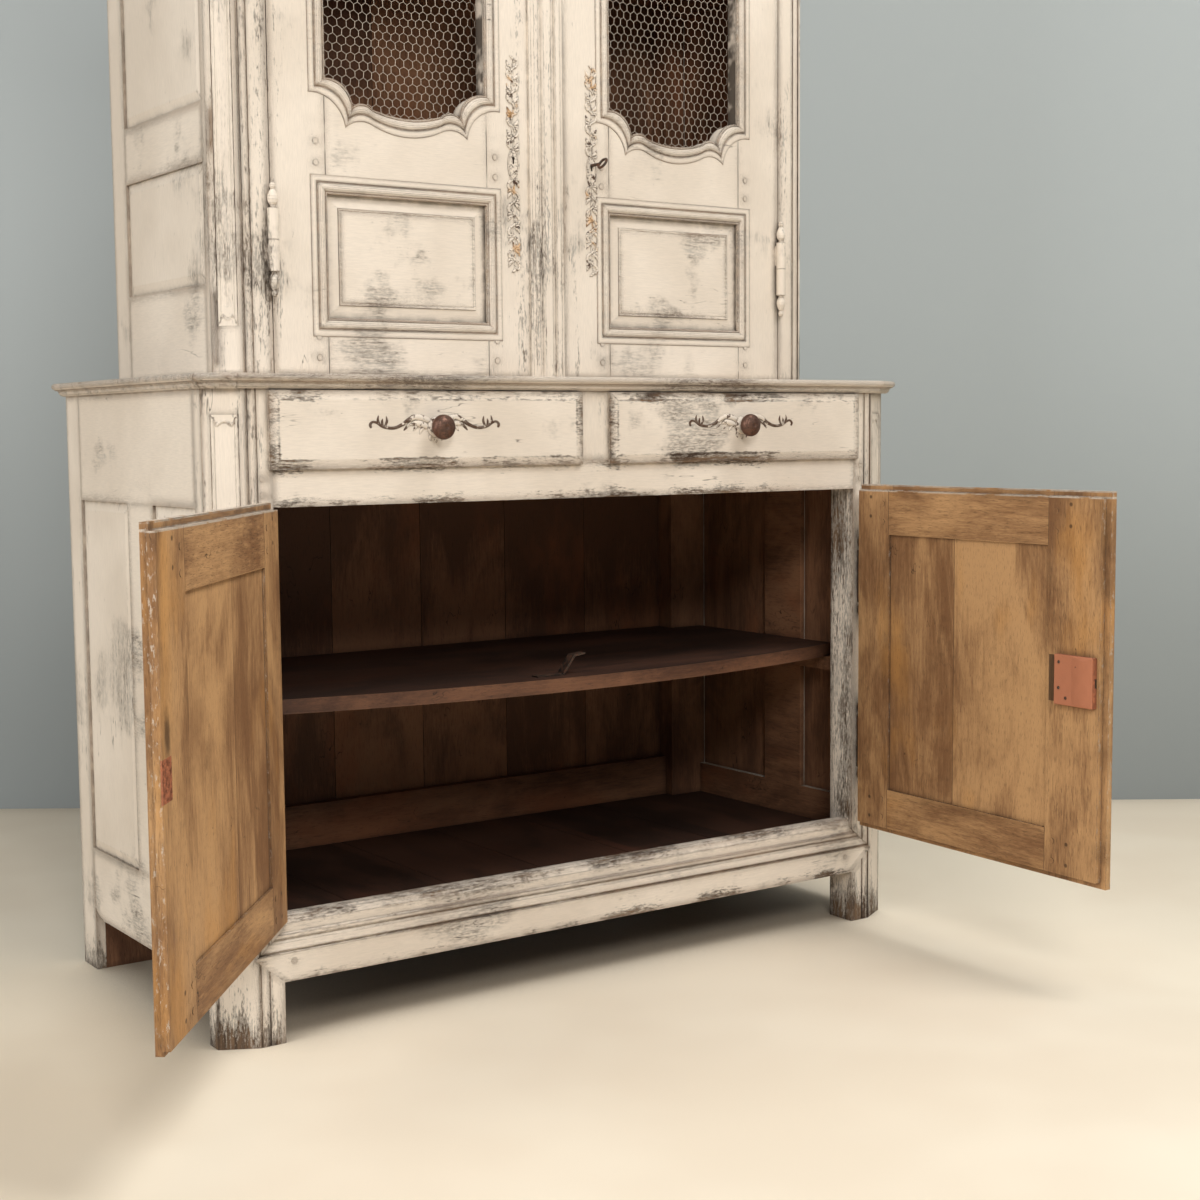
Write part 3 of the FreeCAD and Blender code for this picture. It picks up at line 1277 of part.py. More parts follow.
def make_upper_door(word, side):
    """One upper door: stiles, three rails, a fielded panel, the wire mesh and its fittings."""
    name = "upper_" + word
    hinge_edge = upper_opening_half - S.upper_door_gap
    half_gap = S.upper_meeting_gap / 2
    meeting = S.upper_meeting_offset - half_gap if side == LEFT else S.upper_meeting_offset + half_gap
    meet_width = S.upper_left_meeting_stile if side == LEFT else S.upper_right_meeting_stile
    if side == LEFT:
        hinge_x = (-hinge_edge, -hinge_edge + S.upper_hinge_stile)
        meet_x = (meeting - meet_width, meeting)
        open_x = (hinge_x[1], meet_x[0])
    else:
        hinge_x = (hinge_edge - S.upper_hinge_stile, hinge_edge)
        meet_x = (meeting, meeting + meet_width)
        open_x = (meet_x[1], hinge_x[0])
    bottom = base_top + S.upper_door_lift
    top = bottom + S.upper_door_height
    y = (upper_front, upper_front + S.upper_door_thick)
    rail_top = bottom + S.upper_bottom_rail
    panel_top = rail_top + S.upper_panel_height
    mesh_low = panel_top + S.upper_middle_rail
    mesh_high = top - S.upper_top_rail

    low_rail = box(name + "_low_rail", open_x, y, (bottom, rail_top))
    middle_rail = shaped_rail(name + "_middle_rail", open_x, y, panel_top, mesh_low, False)
    top_rail = shaped_rail(name + "_top_rail", open_x, y, top, mesh_high, True)
    tenon_x = (open_x[0] - S.tenon_length, open_x[1] + S.tenon_length)
    middle_y = (y[0] + y[1]) / 2
    tenon_y = (middle_y - S.tenon_thick / 2, middle_y + S.tenon_thick / 2)
    rails = []
    tenon_places = (
        ("low", low_rail, bottom, rail_top),
        ("middle", middle_rail, panel_top, mesh_low),
        ("top", top_rail, mesh_high, top),
    )
    for part, rail, low, high in tenon_places:
        tenon = box(f"{name}_{part}_tenon", tenon_x, tenon_y, (low + S.tenon_shoulder, high - S.tenon_shoulder))
        rails.append(join(f"{name}_{part}_rail_tenoned", [rail, tenon]))

    slab_front = upper_front + S.panel_setback + S.panel_rise
    slab = box(name + "_slab", (open_x[0] - S.tongue, open_x[1] + S.tongue),
               (slab_front, slab_front + S.panel_slab), (rail_top - S.tongue, panel_top + S.tongue))
    field = frustum(name + "_field", slab_front, slab_front - S.panel_rise, open_x, (rail_top, panel_top),
                    S.upper_field_bevel)
    panel = keep(name + "_panel", join(name + "_panel_blank", [slab, field]))

    hinge_stile = box(name + "_hinge_stile", hinge_x, y, (bottom, top))
    meeting_stile = box(name + "_meeting_stile", meet_x, y, (bottom, top))
    pegs = []
    for low, high in ((bottom, rail_top), (panel_top, mesh_low), (mesh_high, top)):
        for place in (open_x[0] - S.peg_inset, open_x[1] + S.peg_inset):
            for shift in OPPOSITE_ENDS:
                up = (low + high) / 2 + S.peg_inset * shift
                pegs.append(peg(name + "_peg", place, up, upper_front))
    lock = key_hole(name) if side == RIGHT else []
    stiles = [carve(f"{name}_stile_{order}", stile, rails + [panel] + pegs + lock)
              for order, stile in enumerate((hinge_stile, meeting_stile))]
    cut_rails = [carve(f"{name}_rail_{order}", rail, [panel] + pegs) for order, rail in enumerate(rails)]
    keep(name + "_frame", group(name + "_members", stiles + cut_rails + pegs))
    corner_low = mesh_low
    corner_high = mesh_high
    keep(name + "_mesh", wire_mesh(name + "_net", open_x, (corner_low, corner_high), y[1]))

    axis_x = upper_opening_half - S.upper_door_gap / 2
    axis_y = upper_front - S.fit_gap - S.upper_barrel_radius
    leaf_y = (axis_y, upper_front + S.leaf_depth)
    post_leaf = mirrored(side, axis_x + S.leaf_offset, axis_x + S.leaf_offset + S.leaf_thick)
    door_leaf = mirrored(side, axis_x - S.leaf_offset - S.leaf_thick, axis_x - S.leaf_offset)
    fixed = []
    moving = []
    for level, height in (("low", S.upper_hinge_low), ("high", S.upper_hinge_high)):
        halves = hinge(f"{name}_{level}_hinge", S.upper_barrel_radius, side * axis_x, axis_y, height,
                       (post_leaf, leaf_y), (door_leaf, leaf_y))
        fixed.append(halves[0])
        moving.append(halves[1])
    keep(name + "_knuckles", group(name + "_moving_halves", moving))

    if side == LEFT:
        batten_x = meeting - S.batten_width
        profile = [(batten_x + S.batten_width * across, upper_front - S.batten_thick * out)
                   for across, out in BATTEN_SHARES]
        keep("upper_left_batten", prism("batten", "XY", profile, bottom, top))
        plate_x = batten_x - S.batten_escutcheon_gap
    else:
        plate_x = meeting + S.escutcheon_from_edge
    plate = disc_plate(name + "_plate", ESCUTCHEON_DISC_SHARES, S.escutcheon_length, S.escutcheon_width,
                       S.escutcheon_thick, plate_x, upper_front, S.escutcheon_high, True)
    if lock:
        plate = carve(name + "_plate_bored", plate, lock)
    keep(name + "_escutcheon", plate)
    return fixed


def key_place():
    x = S.upper_meeting_offset + S.upper_meeting_gap / 2 + S.escutcheon_from_edge
    return x, S.escutcheon_high + S.key_rise


def key_hole(name):
    """The hole that the key goes through, as a cutting tool."""
    x, z = key_place()
    length = S.upper_door_thick + S.escutcheon_thick * 2
    return [rod(name + "_key_hole", S.key_hole_radius, length, x, upper_front + S.upper_door_thick, z, TO_FRONT)]


def make_upper_lock():
    """The lock behind the right door, its bolt and the key that drives it."""
    x, z = key_place()
    back_face = upper_front + S.upper_door_thick
    case_x0 = S.upper_meeting_offset + S.upper_meeting_gap / 2 + S.lock_edge
    case_x = (case_x0, case_x0 + S.upper_case_width)
    case_y = (back_face, back_face + S.upper_case_depth)
    case_z = (z - S.upper_case_height / 2, z + S.upper_case_height / 2)
    clear = S.pin_clear
    bolt_y = (back_face + clear, back_face + clear + S.bolt_thick)
    bolt_z = (z + S.key_bit + clear * 2, z + S.key_bit + clear * 2 + S.bolt_height)
    slot_y = (back_face, bolt_y[1] + clear)
    slot_z = (bolt_z[0] - clear, bolt_z[1] + clear)
    keep("upper_lock_case", lock_case("upper_case", case_x, case_y, case_z, slot_z, slot_y, True))
    keep("upper_lock_bolt", box("upper_bolt", (case_x0, case_x0 + S.bolt_length), bolt_y, bolt_z))
    bit_y = (back_face + clear * 2, case_y[1] - S.lock_case_wall - clear * 2)
    shaft_front = upper_front - S.escutcheon_thick - S.key_out
    shaft = rod("key_shaft", S.key_radius, bit_y[1] - shaft_front, x, bit_y[1], z, TO_FRONT)
    bit = box("key_bit_plate", (x - S.key_radius / 2, x + S.key_radius / 2), bit_y, (z - S.key_bit, z))
    bow = DOC.addObject("Part::Torus", "key_bow")
    bow.setExpression("Radius1", S.key_bow_radius.text)
    bow.setExpression("Radius2", S.key_bow_wire.text)
    bow.Placement.Rotation = FreeCAD.Rotation(ABOUT_Y, -55)
    bind_base(bow, x, shaft_front - S.key_bow_radius, z)
    keep("upper_key", join("key", [shaft, bit, bow]))


def check_and_write():
    """Recompute, test every object, and write each sub-part."""
    DOC.recompute()
    faults = []
    for thing in DOC.Objects:
        if any(word in thing.State for word in ("Invalid", "Error")):
            faults.append(f"{thing.Name}: {thing.State}")
    for node, thing in NODES.items():
        shape = thing.Shape
        if shape.isNull() or not shape.isValid() or not shape.Solids:
            faults.append(f"{node} has no valid solid")
    if faults:
        raise SystemExit("\n".join(faults))
    os.makedirs("parts", exist_ok=True)
    for node, thing in NODES.items():
        thing.Shape.exportStep(f"parts/{node}.step")
    solids = sum(len(thing.Shape.Solids) for thing in NODES.values())
    print(f"{len(NODES)} sub-parts, {solids} solids")


def main():
    sill, apron, posts, pegs = make_base_frame()
    finish_base_frame(sill, apron, posts, pegs)
    make_base_inside()
    make_runners()
    make_top_board()
    lower_fixed = []
    upper_fixed = []
    for word, side in SIDES.items():
        make_drawer(word, side)
        lower_fixed += make_lower_door(word, side)
    make_lower_lock()
    make_upper_frame()
    make_upper_inside()
    make_cornice()
    for word, side in SIDES.items():
        upper_fixed += make_upper_door(word, side)
    make_upper_lock()
    keep("lower_hinge_pins", group("lower_hinge_pin_set", lower_fixed))
    keep("upper_hinge_pins", group("upper_hinge_pin_set", upper_fixed))
    check_and_write()


main()
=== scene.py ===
# %% [markdown]
# # A painted two-part cupboard
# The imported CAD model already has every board, post, door and hinge in its place, so this lesson starts from it and
# never moves it. What is left is what a camera sees: worn paint, bare oak, thin wire, carved mouldings and cast
# metal. Everything is in metres, X to the right, the front towards -Y, Z up, with the floor at zero.

import math
from functools import partialmethod

import bmesh
import bpy
import numpy as np
from mathutils import Matrix, Vector


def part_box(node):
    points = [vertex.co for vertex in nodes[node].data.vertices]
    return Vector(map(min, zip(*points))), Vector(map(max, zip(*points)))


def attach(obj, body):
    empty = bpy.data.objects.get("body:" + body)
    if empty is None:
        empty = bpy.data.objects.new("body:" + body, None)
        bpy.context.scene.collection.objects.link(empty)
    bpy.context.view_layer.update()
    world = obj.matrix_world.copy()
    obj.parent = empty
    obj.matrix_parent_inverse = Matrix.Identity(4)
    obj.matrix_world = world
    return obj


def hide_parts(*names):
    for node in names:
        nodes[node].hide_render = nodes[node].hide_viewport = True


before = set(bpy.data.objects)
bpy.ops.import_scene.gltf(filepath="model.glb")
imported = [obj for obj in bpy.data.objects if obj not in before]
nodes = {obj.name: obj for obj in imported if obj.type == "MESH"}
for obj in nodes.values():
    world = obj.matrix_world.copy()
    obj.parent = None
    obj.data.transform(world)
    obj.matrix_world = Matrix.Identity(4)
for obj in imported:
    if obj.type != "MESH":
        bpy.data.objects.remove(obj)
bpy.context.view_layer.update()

# %% [markdown]
# ## Camera
# The picture was taken from the left of the cupboard, a little below the middle of its height, with the camera
# turned 35 degrees to the right and tipped down about 5 degrees. A camera can be aimed with angles or with a matrix;
# the matrix is used here because its three columns are easy to read: right, up and backwards.

# %% Camera
EYE = Vector((-1.6953, -2.7283, 0.8980))
YAW, TIP, ROLL = 0.6112, 0.0916, -0.00825
LENS_MM = 54.84
SENSOR_MM = 36

ahead = Vector((math.sin(YAW) * math.cos(TIP), math.cos(YAW) * math.cos(TIP), -math.sin(TIP)))
level = Vector((math.cos(YAW), -math.sin(YAW), 0))
upright = level.cross(ahead)
right = level * math.cos(ROLL) + upright * math.sin(ROLL)
up = upright * math.cos(ROLL) - level * math.sin(ROLL)
camera_data = bpy.data.cameras.new("camera")
camera_data.lens = LENS_MM
camera_data.sensor_width = SENSOR_MM
camera_data.sensor_fit = "HORIZONTAL"
camera = bpy.data.objects.new("camera", camera_data)
camera.matrix_world = Matrix.Translation(EYE) @ Matrix((right, up, -ahead)).transposed().to_4x4()
bpy.context.scene.collection.objects.link(camera)
bpy.context.scene.camera = camera
bpy.context.scene.view_settings.view_transform = "Standard"
print("camera at", tuple(round(v, 3) for v in EYE), "lens", LENS_MM)

# %% [markdown]
# ## Values of a node tree
# A node tree can be wired by hand with many lines for each node. Most of a finish is arithmetic, though, so a small
# class stands for the output of a node: a sum or product written with it becomes a Math node, and a band is a smooth
# step between two limits. The finishes below then read like formulas. Colours are noted as a painter sees them, from 0
# to 255, and turned into the linear light that shaders use.

# %% Values and wiring


def seen(red, green, blue):
    """Linear colour of a screen colour: divide by 255, then undo the screen's curve."""
    shares = [part / 255 for part in (red, green, blue)]
    return tuple(s / 12.92 if s <= 0.04045 else ((s + 0.055) / 1.055) ** 2.4 for s in shares) + (1.0,)


class Value:
    """One output of a node. A sum or product with it is written as usual, and adds a Math node."""

    def __init__(self, wiring, socket):
        self.wiring, self.socket = wiring, socket

    def math(self, kind, *others, first=False):
        """A Math node with this value and another; first puts the other one first."""
        terms = others + (self,) if first else (self,) + others
        return self.wiring.add("Math", dict(enumerate(terms)), operation=kind)

    __add__ = partialmethod(math, "ADD")
    __sub__ = partialmethod(math, "SUBTRACT")
    __rsub__ = partialmethod(math, "SUBTRACT", first=True)
    __mul__ = partialmethod(math, "MULTIPLY")
    __truediv__ = partialmethod(math, "DIVIDE")
    __abs__ = partialmethod(math, "ABSOLUTE")
    min = partialmethod(math, "MINIMUM")
    max = partialmethod(math, "MAXIMUM")

    def band(self, low, high, start=0.0, end=1.0):
        """Smooth step from start to end as the value goes from low to high."""
        feeds = {"Value": self, "From Min": low, "From Max": high, "To Min": start, "To Max": end}
        return self.wiring.add("MapRange", feeds, interpolation_type="SMOOTHSTEP")

    def within(self, low, high, soft=0.0004):
        """1 where the value lies between low and high, with a soft edge."""
        return self.band(low - soft, low + soft) - self.band(high - soft, high + soft)

    def mix(self, first, second):
        """The colour at this share of the way from the first to the second."""
        return self.wiring.add("Mix", {0: self, 6: first, 7: second}, 2, data_type="RGBA")

    def lerp(self, first, second):
        """The number at this share of the way."""
        return self.wiring.add("Mix", {0: self, 2: first, 3: second}, data_type="FLOAT")

    def between(self, first, second):
        """The look at this share of the way: colour, roughness and height."""
        return [self.mix(first[0], second[0])] + [self.lerp(*both) for both in zip(first[1:], second[1:])]

    def toward(self, other, share):
        """The place at a share of the way from this one to the other."""
        return self.wiring.add("Mix", {0: share, 4: self, 5: other}, 1, data_type="VECTOR")

    def noise(self, scale, detail=4.0, rough=0.6, bend=0.0):
        """Cloudy noise at this place."""
        feeds = {"Vector": self, "Scale": scale, "Detail": detail, "Roughness": rough, "Distortion": bend}
        return self.wiring.add("TexNoise", feeds)

    def stretch(self, scale=(1, 1, 1), turn=(0, 0, 0), shift=(0, 0, 0)):
        feeds = {"Vector": self, "Location": shift, "Rotation": turn, "Scale": scale}
        return self.wiring.add("Mapping", feeds)

    def split(self):
        return self.wiring.add("SeparateXYZ", {0: self}, None)

    def to(self, kind, other):
        """One number from two vectors: their DOT_PRODUCT or their DISTANCE."""
        return self.wiring.add("VectorMath", {0: self, 1: other}, "Value", operation=kind)


class Wiring:
    """A node tree under construction."""

    def __init__(self, tree):
        self.tree = tree

    def link(self, value, socket):
        self.tree.links.new(value.socket, socket)

    def add(self, kind, feeds=None, out=0, **settings):
        """One shader node of a kind such as Mix; feeds gives each input a number, a colour or a Value. out names the
        output, and None gives all."""
        node = self.tree.nodes.new("ShaderNode" + kind)
        for setting, value in settings.items():
            setattr(node, setting, value)
        for key, value in (feeds or {}).items():
            if isinstance(value, Value):
                self.link(value, node.inputs[key])
            else:
                node.inputs[key].default_value = value
        return [Value(self, o) for o in node.outputs] if out is None else Value(self, node.outputs[out])

    def facing(self):
        """The way a face looks, in the object's own directions, so it stays when a door swings."""
        normal = self.add("NewGeometry", out="True Normal")
        return self.add("VectorTransform", {0: normal}, vector_type="NORMAL", convert_from="WORLD",
                        convert_to="OBJECT")


class Effect(Wiring):
    """A shader node group. takes gives each input's default: a number, a colour, or None for a place."""

    def __init__(self, name, takes, gives):
        super().__init__(bpy.data.node_groups.new(name, "ShaderNodeTree"))
        kinds = {type(None): "Vector", tuple: "Color", float: "Float"}
        for key, default in takes.items():
            kind = "NodeSocket" + kinds[type(default)]
            socket = self.tree.interface.new_socket(name=key, in_out="INPUT", socket_type=kind)
            if default is not None:
                socket.default_value = default
        for key in gives:
            kind = "NodeSocketColor" if key == "Color" else "NodeSocketFloat"
            self.tree.interface.new_socket(name=key, in_out="OUTPUT", socket_type=kind)
        outputs = self.tree.nodes.new("NodeGroupInput").outputs
        self.take = {key: Value(self, output) for key, output in zip(takes, outputs)}
        self.outlets = self.tree.nodes.new("NodeGroupOutput").inputs

    def give(self, *results):
        for result, outlet in zip(results, self.outlets):
            self.link(result, outlet)
        print("group:", self.tree.name)


print("values and wiring ready")

# %% [markdown]
# ## Where things wear
# Hands, brooms and chair backs take the paint off raised edges, and the finishes darken the corners, partly for the
# dust and old wax that stay there and partly as painted shade. Cycles can find both without any drawing: the Bevel node
# gives the normal of a rounded edge, and where that differs from the true normal there is an edge. A small radius gives
# the arris itself, a large one the strip beside it. Ambient Occlusion tells how closed in a point is; the Hollow mask
# made from it is where that shade is painted.

# %% Edge, strip and hollow masks
HOLLOW_REACH_M = 0.012
MASKS = {"Edge": 0.0, "Near": 0.0, "Hollow": 0.0}
edges = Effect("edges and hollows", {"Reach": 0.003, "Strip": 0.02}, MASKS)
true_normal = edges.add("NewGeometry", out="Normal")


def turned_away(radius, limit):
    """How far a rounded normal has turned from the true one: one minus their dot product, up to a limit."""
    rounded = edges.add("Bevel", {"Radius": radius}, samples=2)
    return (1.0 - rounded.to("DOT_PRODUCT", true_normal)).band(0.0, limit)


closed = edges.add("AmbientOcclusion", {"Distance": HOLLOW_REACH_M}, "AO", samples=2)
hollow = (1.0 - closed).band(0.22, 0.8)
edges.give(turned_away(edges.take["Reach"], 0.13) * (1.0 - hollow), turned_away(edges.take["Strip"], 0.25), hollow)

# %% [markdown]
# ## Worn paint
# The cream on this cupboard is a thin chalky coat over an older grey one, over oak. It goes in flecks drawn out along
# the grain: a few in soft patches on the flats, many beside the edges, and down to the wood on the arrises that were
# handled most. One number says how much paint is lost, the sum of those causes and of a fleck noise, and two limits
# on it give first the grey coat and then the wood.

# %% Paint group
CREAM_LIGHT, CREAM_DEEP = seen(235, 223, 208), seen(221, 208, 192)
GREY_LIGHT, GREY_DEEP = seen(172, 165, 155), seen(122, 113, 103)
WOOD_LIGHT, WOOD_DEEP = seen(122, 98, 76), seen(66, 52, 42)
# dark colour for cracks, joints and grime, and for the shade painted into hollows and quirks
GRIME_AND_SHADE = seen(58, 48, 40)
LOOK = ("Color", "Roughness", "Height")
AT = {"Place": None, "Grain": None, "Line": 0.0, **MASKS}

paint = Effect("worn cream paint", {"Wear": 1.0, "Rubbing": 0.5, "Extra": 0.0, **AT}, LOOK)
take = paint.take
place, grain = take["Place"], take["Grain"]
streak = grain.noise(300.0, 6.0, 0.72)
chip = grain.toward(place, 0.22).noise(330.0, 5.0, 0.75)
fleck = streak * 0.42 + chip * 0.58
brushed = grain.noise(620.0, 3.0)
care = place.noise(2.6, 2.0).band(0.4, 0.62)
blots = place.noise(20.0, 4.0, 0.65).band(0.38, 0.6)
beside = take["Near"] * care.lerp(0.36, 0.74)
arris = take["Edge"] * blots.lerp(0.5, 1.1)
soft = (place.noise(5.5, 5.0) - 0.52) * take["Rubbing"]
loss = (beside + arris) * take["Wear"] + soft.max(-0.08) + take["Extra"] + (fleck - 0.5) * 2.9
grey = grain.noise(90.0).band(0.4, 0.6).mix(GREY_DEEP, GREY_LIGHT)
wood = grain.noise(70.0, 5.0).band(0.38, 0.62).mix(WOOD_DEEP, WOOD_LIGHT)
bare = loss.band(0.58, 0.76)
coat = place.noise(3.2, 3.0).band(0.36, 0.64).mix(CREAM_DEEP, CREAM_LIGHT)
for share, under in ((brushed.band(0.3, 0.7, 0.16, 0.0), GREY_LIGHT),
                     (soft.band(0.02, 0.16) * fleck.band(0.42, 0.56, 0.15, 0.75), grey),
                     (loss.band(0.28, 0.52, 0.0, 0.9), grey), (bare, wood)):
    coat = share.mix(coat, under)
hair = abs(grain.noise(26.0, 4.0, 0.55) - 0.5).band(0.001, 0.005, 1.0, 0.0)
crack = hair * place.noise(6.0, 3.0).band(0.56, 0.64, 0.0, 0.8)
# painted shade: the Hollow mask darkens corners, quirks and recesses towards the dark colour, partly as grime and
# partly as the shade that falls there
hollow_grime_and_shade = take["Hollow"] * place.noise(38.0).band(0.32, 0.62, 0.16, 0.95)
dark = hollow_grime_and_shade.max(crack).max(take["Line"])
skin = brushed * 0.4 - loss.band(0.3, 0.8)
paint.give((dark * 0.88).mix(coat, GRIME_AND_SHADE), bare.lerp(0.62, 0.8), skin - dark * 0.8)

# %% [markdown]
# ## Bare oak
# The insides never saw paint. Oak has long soft bands, short dark pores and a slow change of tone from board to
# board. A wood picture would be quick, but noise squeezed along the grain gives the same three layers at any size, and
# the colours can then be set apart for the honey-coloured doors and for the dark inside.

# %% Oak group
# Stain is the dark colour of pores, stains and splits, and also of the shade painted into hollows
INSIDE = {"Light": seen(152, 109, 79), "Deep": seen(98, 67, 49), "Stain and shade": seen(40, 27, 21), "Warm": seen(150, 94, 62)}
DARK = {"Light": seen(72, 47, 35), "Deep": seen(42, 28, 21), "Stain and shade": seen(24, 17, 14), "Warm": seen(84, 50, 36)}
SHELF_EDGE = {**DARK, "Light": seen(116, 80, 58), "Deep": seen(74, 49, 37)}
HONEY = {"Light": seen(196, 154, 108), "Deep": seen(130, 93, 62), "Stain and shade": seen(56, 38, 27), "Warm": seen(202, 148, 84)}

oak = Effect("oak", {**HONEY, "Tone": 0.0, **AT}, LOOK)
take = oak.take
place, grain = take["Place"], take["Grain"]
growth = grain.noise(13.0, 5.0, bend=0.6) * 0.42 + grain.noise(240.0, 6.0, 0.78) * 0.58
drawn = grain.toward(place, 0.35)
tone = growth * 0.5 + drawn.noise(9.0, 5.0, bend=0.8) * 0.5
wood = (tone + take["Tone"]).band(0.4, 0.6).mix(take["Deep"], take["Light"])
wood = drawn.noise(6.0).band(0.52, 0.7, 0.0, 0.6).mix(wood, take["Warm"])
wood = place.noise(5.0, 5.0).band(0.52, 0.75, 0.0, 0.6).mix(wood, take["Deep"])
pores = grain.noise(900.0, 2.0, 0.5).band(0.58, 0.7)
stains = place.noise(11.0, 6.0, 0.7).band(0.6, 0.8, 0.0, 0.55)
split = abs(drawn.noise(14.0, 4.0, 0.55) - 0.5).band(0.0008, 0.004, 1.0, 0.0)
split *= place.noise(7.0, 3.0).band(0.56, 0.62, 0.0, 0.8)
handled = take["Near"] * place.noise(14.0).band(0.42, 0.62, 0.0, 0.5)
# pores, stains and splits darken the wood, then the hollows as painted shade, and the joint lines
for share in (pores * 0.42, stains.max(split).max(handled), take["Hollow"].max(take["Line"]) * 0.8):
    wood = share.mix(wood, take["Stain and shade"])
wood = (take["Edge"] * 0.3).mix(wood, take["Light"])
oak.give(wood, growth.lerp(0.5, 0.75), growth * 0.3 - pores * 0.6 - take["Line"])

# %% [markdown]
# ## Where the paint stops
# Only the front and the sides were painted. The back, and every face that looks into the cupboard behind the front
# posts, is bare dark oak. One board can have both, so the finish asks each point where it is and which way it faces.

# %% Inside mask
UPPER_START = (0.9865, 0.9875)
LOWER_POSTS, UPPER_POSTS = (-0.2390, -0.2380), (-0.1160, -0.1150)
LOWER_HALF, UPPER_HALF = 0.645, 0.567

stops = Effect("where the paint stops", {"Place": None}, ["Inside"])
facing_x, facing_y = stops.facing().split()[:2]
x, y, z = stops.take["Place"].split()
above = z.band(*UPPER_START)
behind_posts = above.lerp(y.band(*LOWER_POSTS), y.band(*UPPER_POSTS))
inward = (facing_x * x.math("SIGN")).band(-0.5, -0.3, 1.0, 0.0)
within_sides = abs(x).math("LESS_THAN", above.lerp(LOWER_HALF, UPPER_HALF))
frontward = facing_y.band(-0.9, -0.7, 1.0, 0.0) * within_sides
stops.give((behind_posts * inward.max(frontward)).max(facing_y.band(0.3, 0.5)))

# %% [markdown]
# ## Finishes
# Each finish is a material with its own shader, fed by the groups. The grain of a board runs along its length, so
# every finish says which way it runs: up, across (along X) or back (along Y). The place is squeezed along that way
# before it reaches the noises.

# %% Finish tools
UP, ACROSS, BACK = (1.0, 1.0, 0.09), (0.09, 1.0, 1.0), (1.0, 0.09, 1.0)
BUMP_M = 0.0005
METAL_BUMP_M = 0.0003
DOOR_OPENING_Z = (0.19, 0.793)
FOOT_M = 0.09


class Finish(Wiring):
    """A material with one Principled shader, and the plain place on the object."""

    def __init__(self, name):
        self.material = bpy.data.materials.new(name)
        self.material.use_nodes = True
        super().__init__(self.material.node_tree)
        self.shader = self.tree.nodes["Principled BSDF"].inputs
        self.shader["Specular IOR Level"].default_value = 0.3
        self.place = self.add("TexCoord", out="Object")

    def use(self, group, feeds):
        """The outputs of a group, with its inputs wired."""
        return self.add("Group", feeds, None, node_tree=group.tree)

    def masks(self, reach=0.003, strip=0.02):
        return dict(zip(MASKS, self.use(edges, {"Reach": reach, "Strip": strip})))

    def common(self, grain, *sizes):
        """What paint and oak both need: place, grain and masks."""
        return {"Place": self.place, "Grain": self.place.stretch(grain), **self.masks(*sizes)}

    def bare_inside(self, look, common):
        """The look outside, and bare oak on the faces that look inside."""
        return self.use(stops, {"Place": self.place})[0].between(look, self.use(oak, {**INSIDE, **common}))

    def streaks(self, grain, amount):
        return grain.noise(34.0).band(0.4, 0.62, 0.0, amount)

    def done(self, look, depth=BUMP_M):
        """Wire colour, roughness and height into the shader."""
        self.link(look[0], self.shader["Base Color"])
        self.link(look[1], self.shader["Roughness"])
        bump = self.add("Bump", {"Height": look[2], "Strength": 0.7, "Distance": depth})
        self.link(bump, self.shader["Normal"])
        return self.material


def painted(name, grain, wear, rubbing, foot=0.0, bare_inside=True, reach=0.007, strip=0.02, rubbed_in=0.0,
            all_over=0.0):
    """Worn paint. foot adds wear towards the floor, rubbed_in on the posts' sides in the door opening, and all_over
    everywhere, in long streaks."""
    finish = Finish(name)
    common = finish.common(grain, reach, strip)
    x, y, z = finish.place.split()
    extra = z.band(0.0, FOOT_M, foot, 0.0)
    if rubbed_in:
        inward = finish.facing().split()[0] * x.math("SIGN")
        extra += inward.band(-0.9, -0.7, rubbed_in, 0.0) * z.within(*DOOR_OPENING_Z, 0.01)
    if all_over:
        extra += finish.streaks(common["Grain"], all_over)
    look = finish.use(paint, {"Wear": wear, "Rubbing": rubbing, "Extra": extra, **common})
    return finish.done(finish.bare_inside(look, common) if bare_inside else look)


def oaken(name, grain, colours, row=None, edge=None, shade_heights=None):
    """Bare oak. row is (node, count) for boards side by side along X: each gets a tone and grain of its own. edge
    gives other colours to the faces that look to the front, and dusk gives the heights over which the boards are
    painted darker upwards, as painted shade under the top board."""
    finish = Finish(name)
    feeds = finish.common(grain)
    if row:
        low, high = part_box(row[0])
        x, y, z = finish.place.split()
        order = ((x - low[0]) / ((high[0] - low[0]) / row[1])).math("FLOOR")
        chance = finish.add("TexWhiteNoise", {"W": order}, "Value", noise_dimensions="1D")
        feeds["Tone"] = chance.band(0.0, 1.0, -0.06, 0.05)
        # painted shade: the back boards darken upwards between these heights, where the top board shades them
        if shade_heights:
            feeds["Tone"] -= z.band(*shade_heights, 0.0, 0.16)
        apart = finish.add("CombineXYZ", {2: order})
        feeds["Grain"] = finish.add("VectorMath", {0: feeds["Grain"], 1: apart})
    look = finish.use(oak, {**feeds, **colours})
    if edge:
        front = finish.facing().split()[1].band(-0.9, -0.6, 1.0, 0.0)
        look = front.between(look, finish.use(oak, {**feeds, **edge}))
    return finish.done(look)


print("finish tools ready")

# %% [markdown]
# ## Chipped borders
# Drawer fronts and the front rails have lost most paint near their ends and edges, where a cloth, a key or a foot
# catches them. The distance to the nearest end or edge of the board comes from its own box, so no second bevel search
# is needed, and a slow noise keeps the border uneven.

# %% Border finish
BORDER_M = (0.001, 0.026)
FIELD_ARRIS_M = (0.0115, 0.0155)
DRAWER_FRONT = (-0.3020, -0.2990)


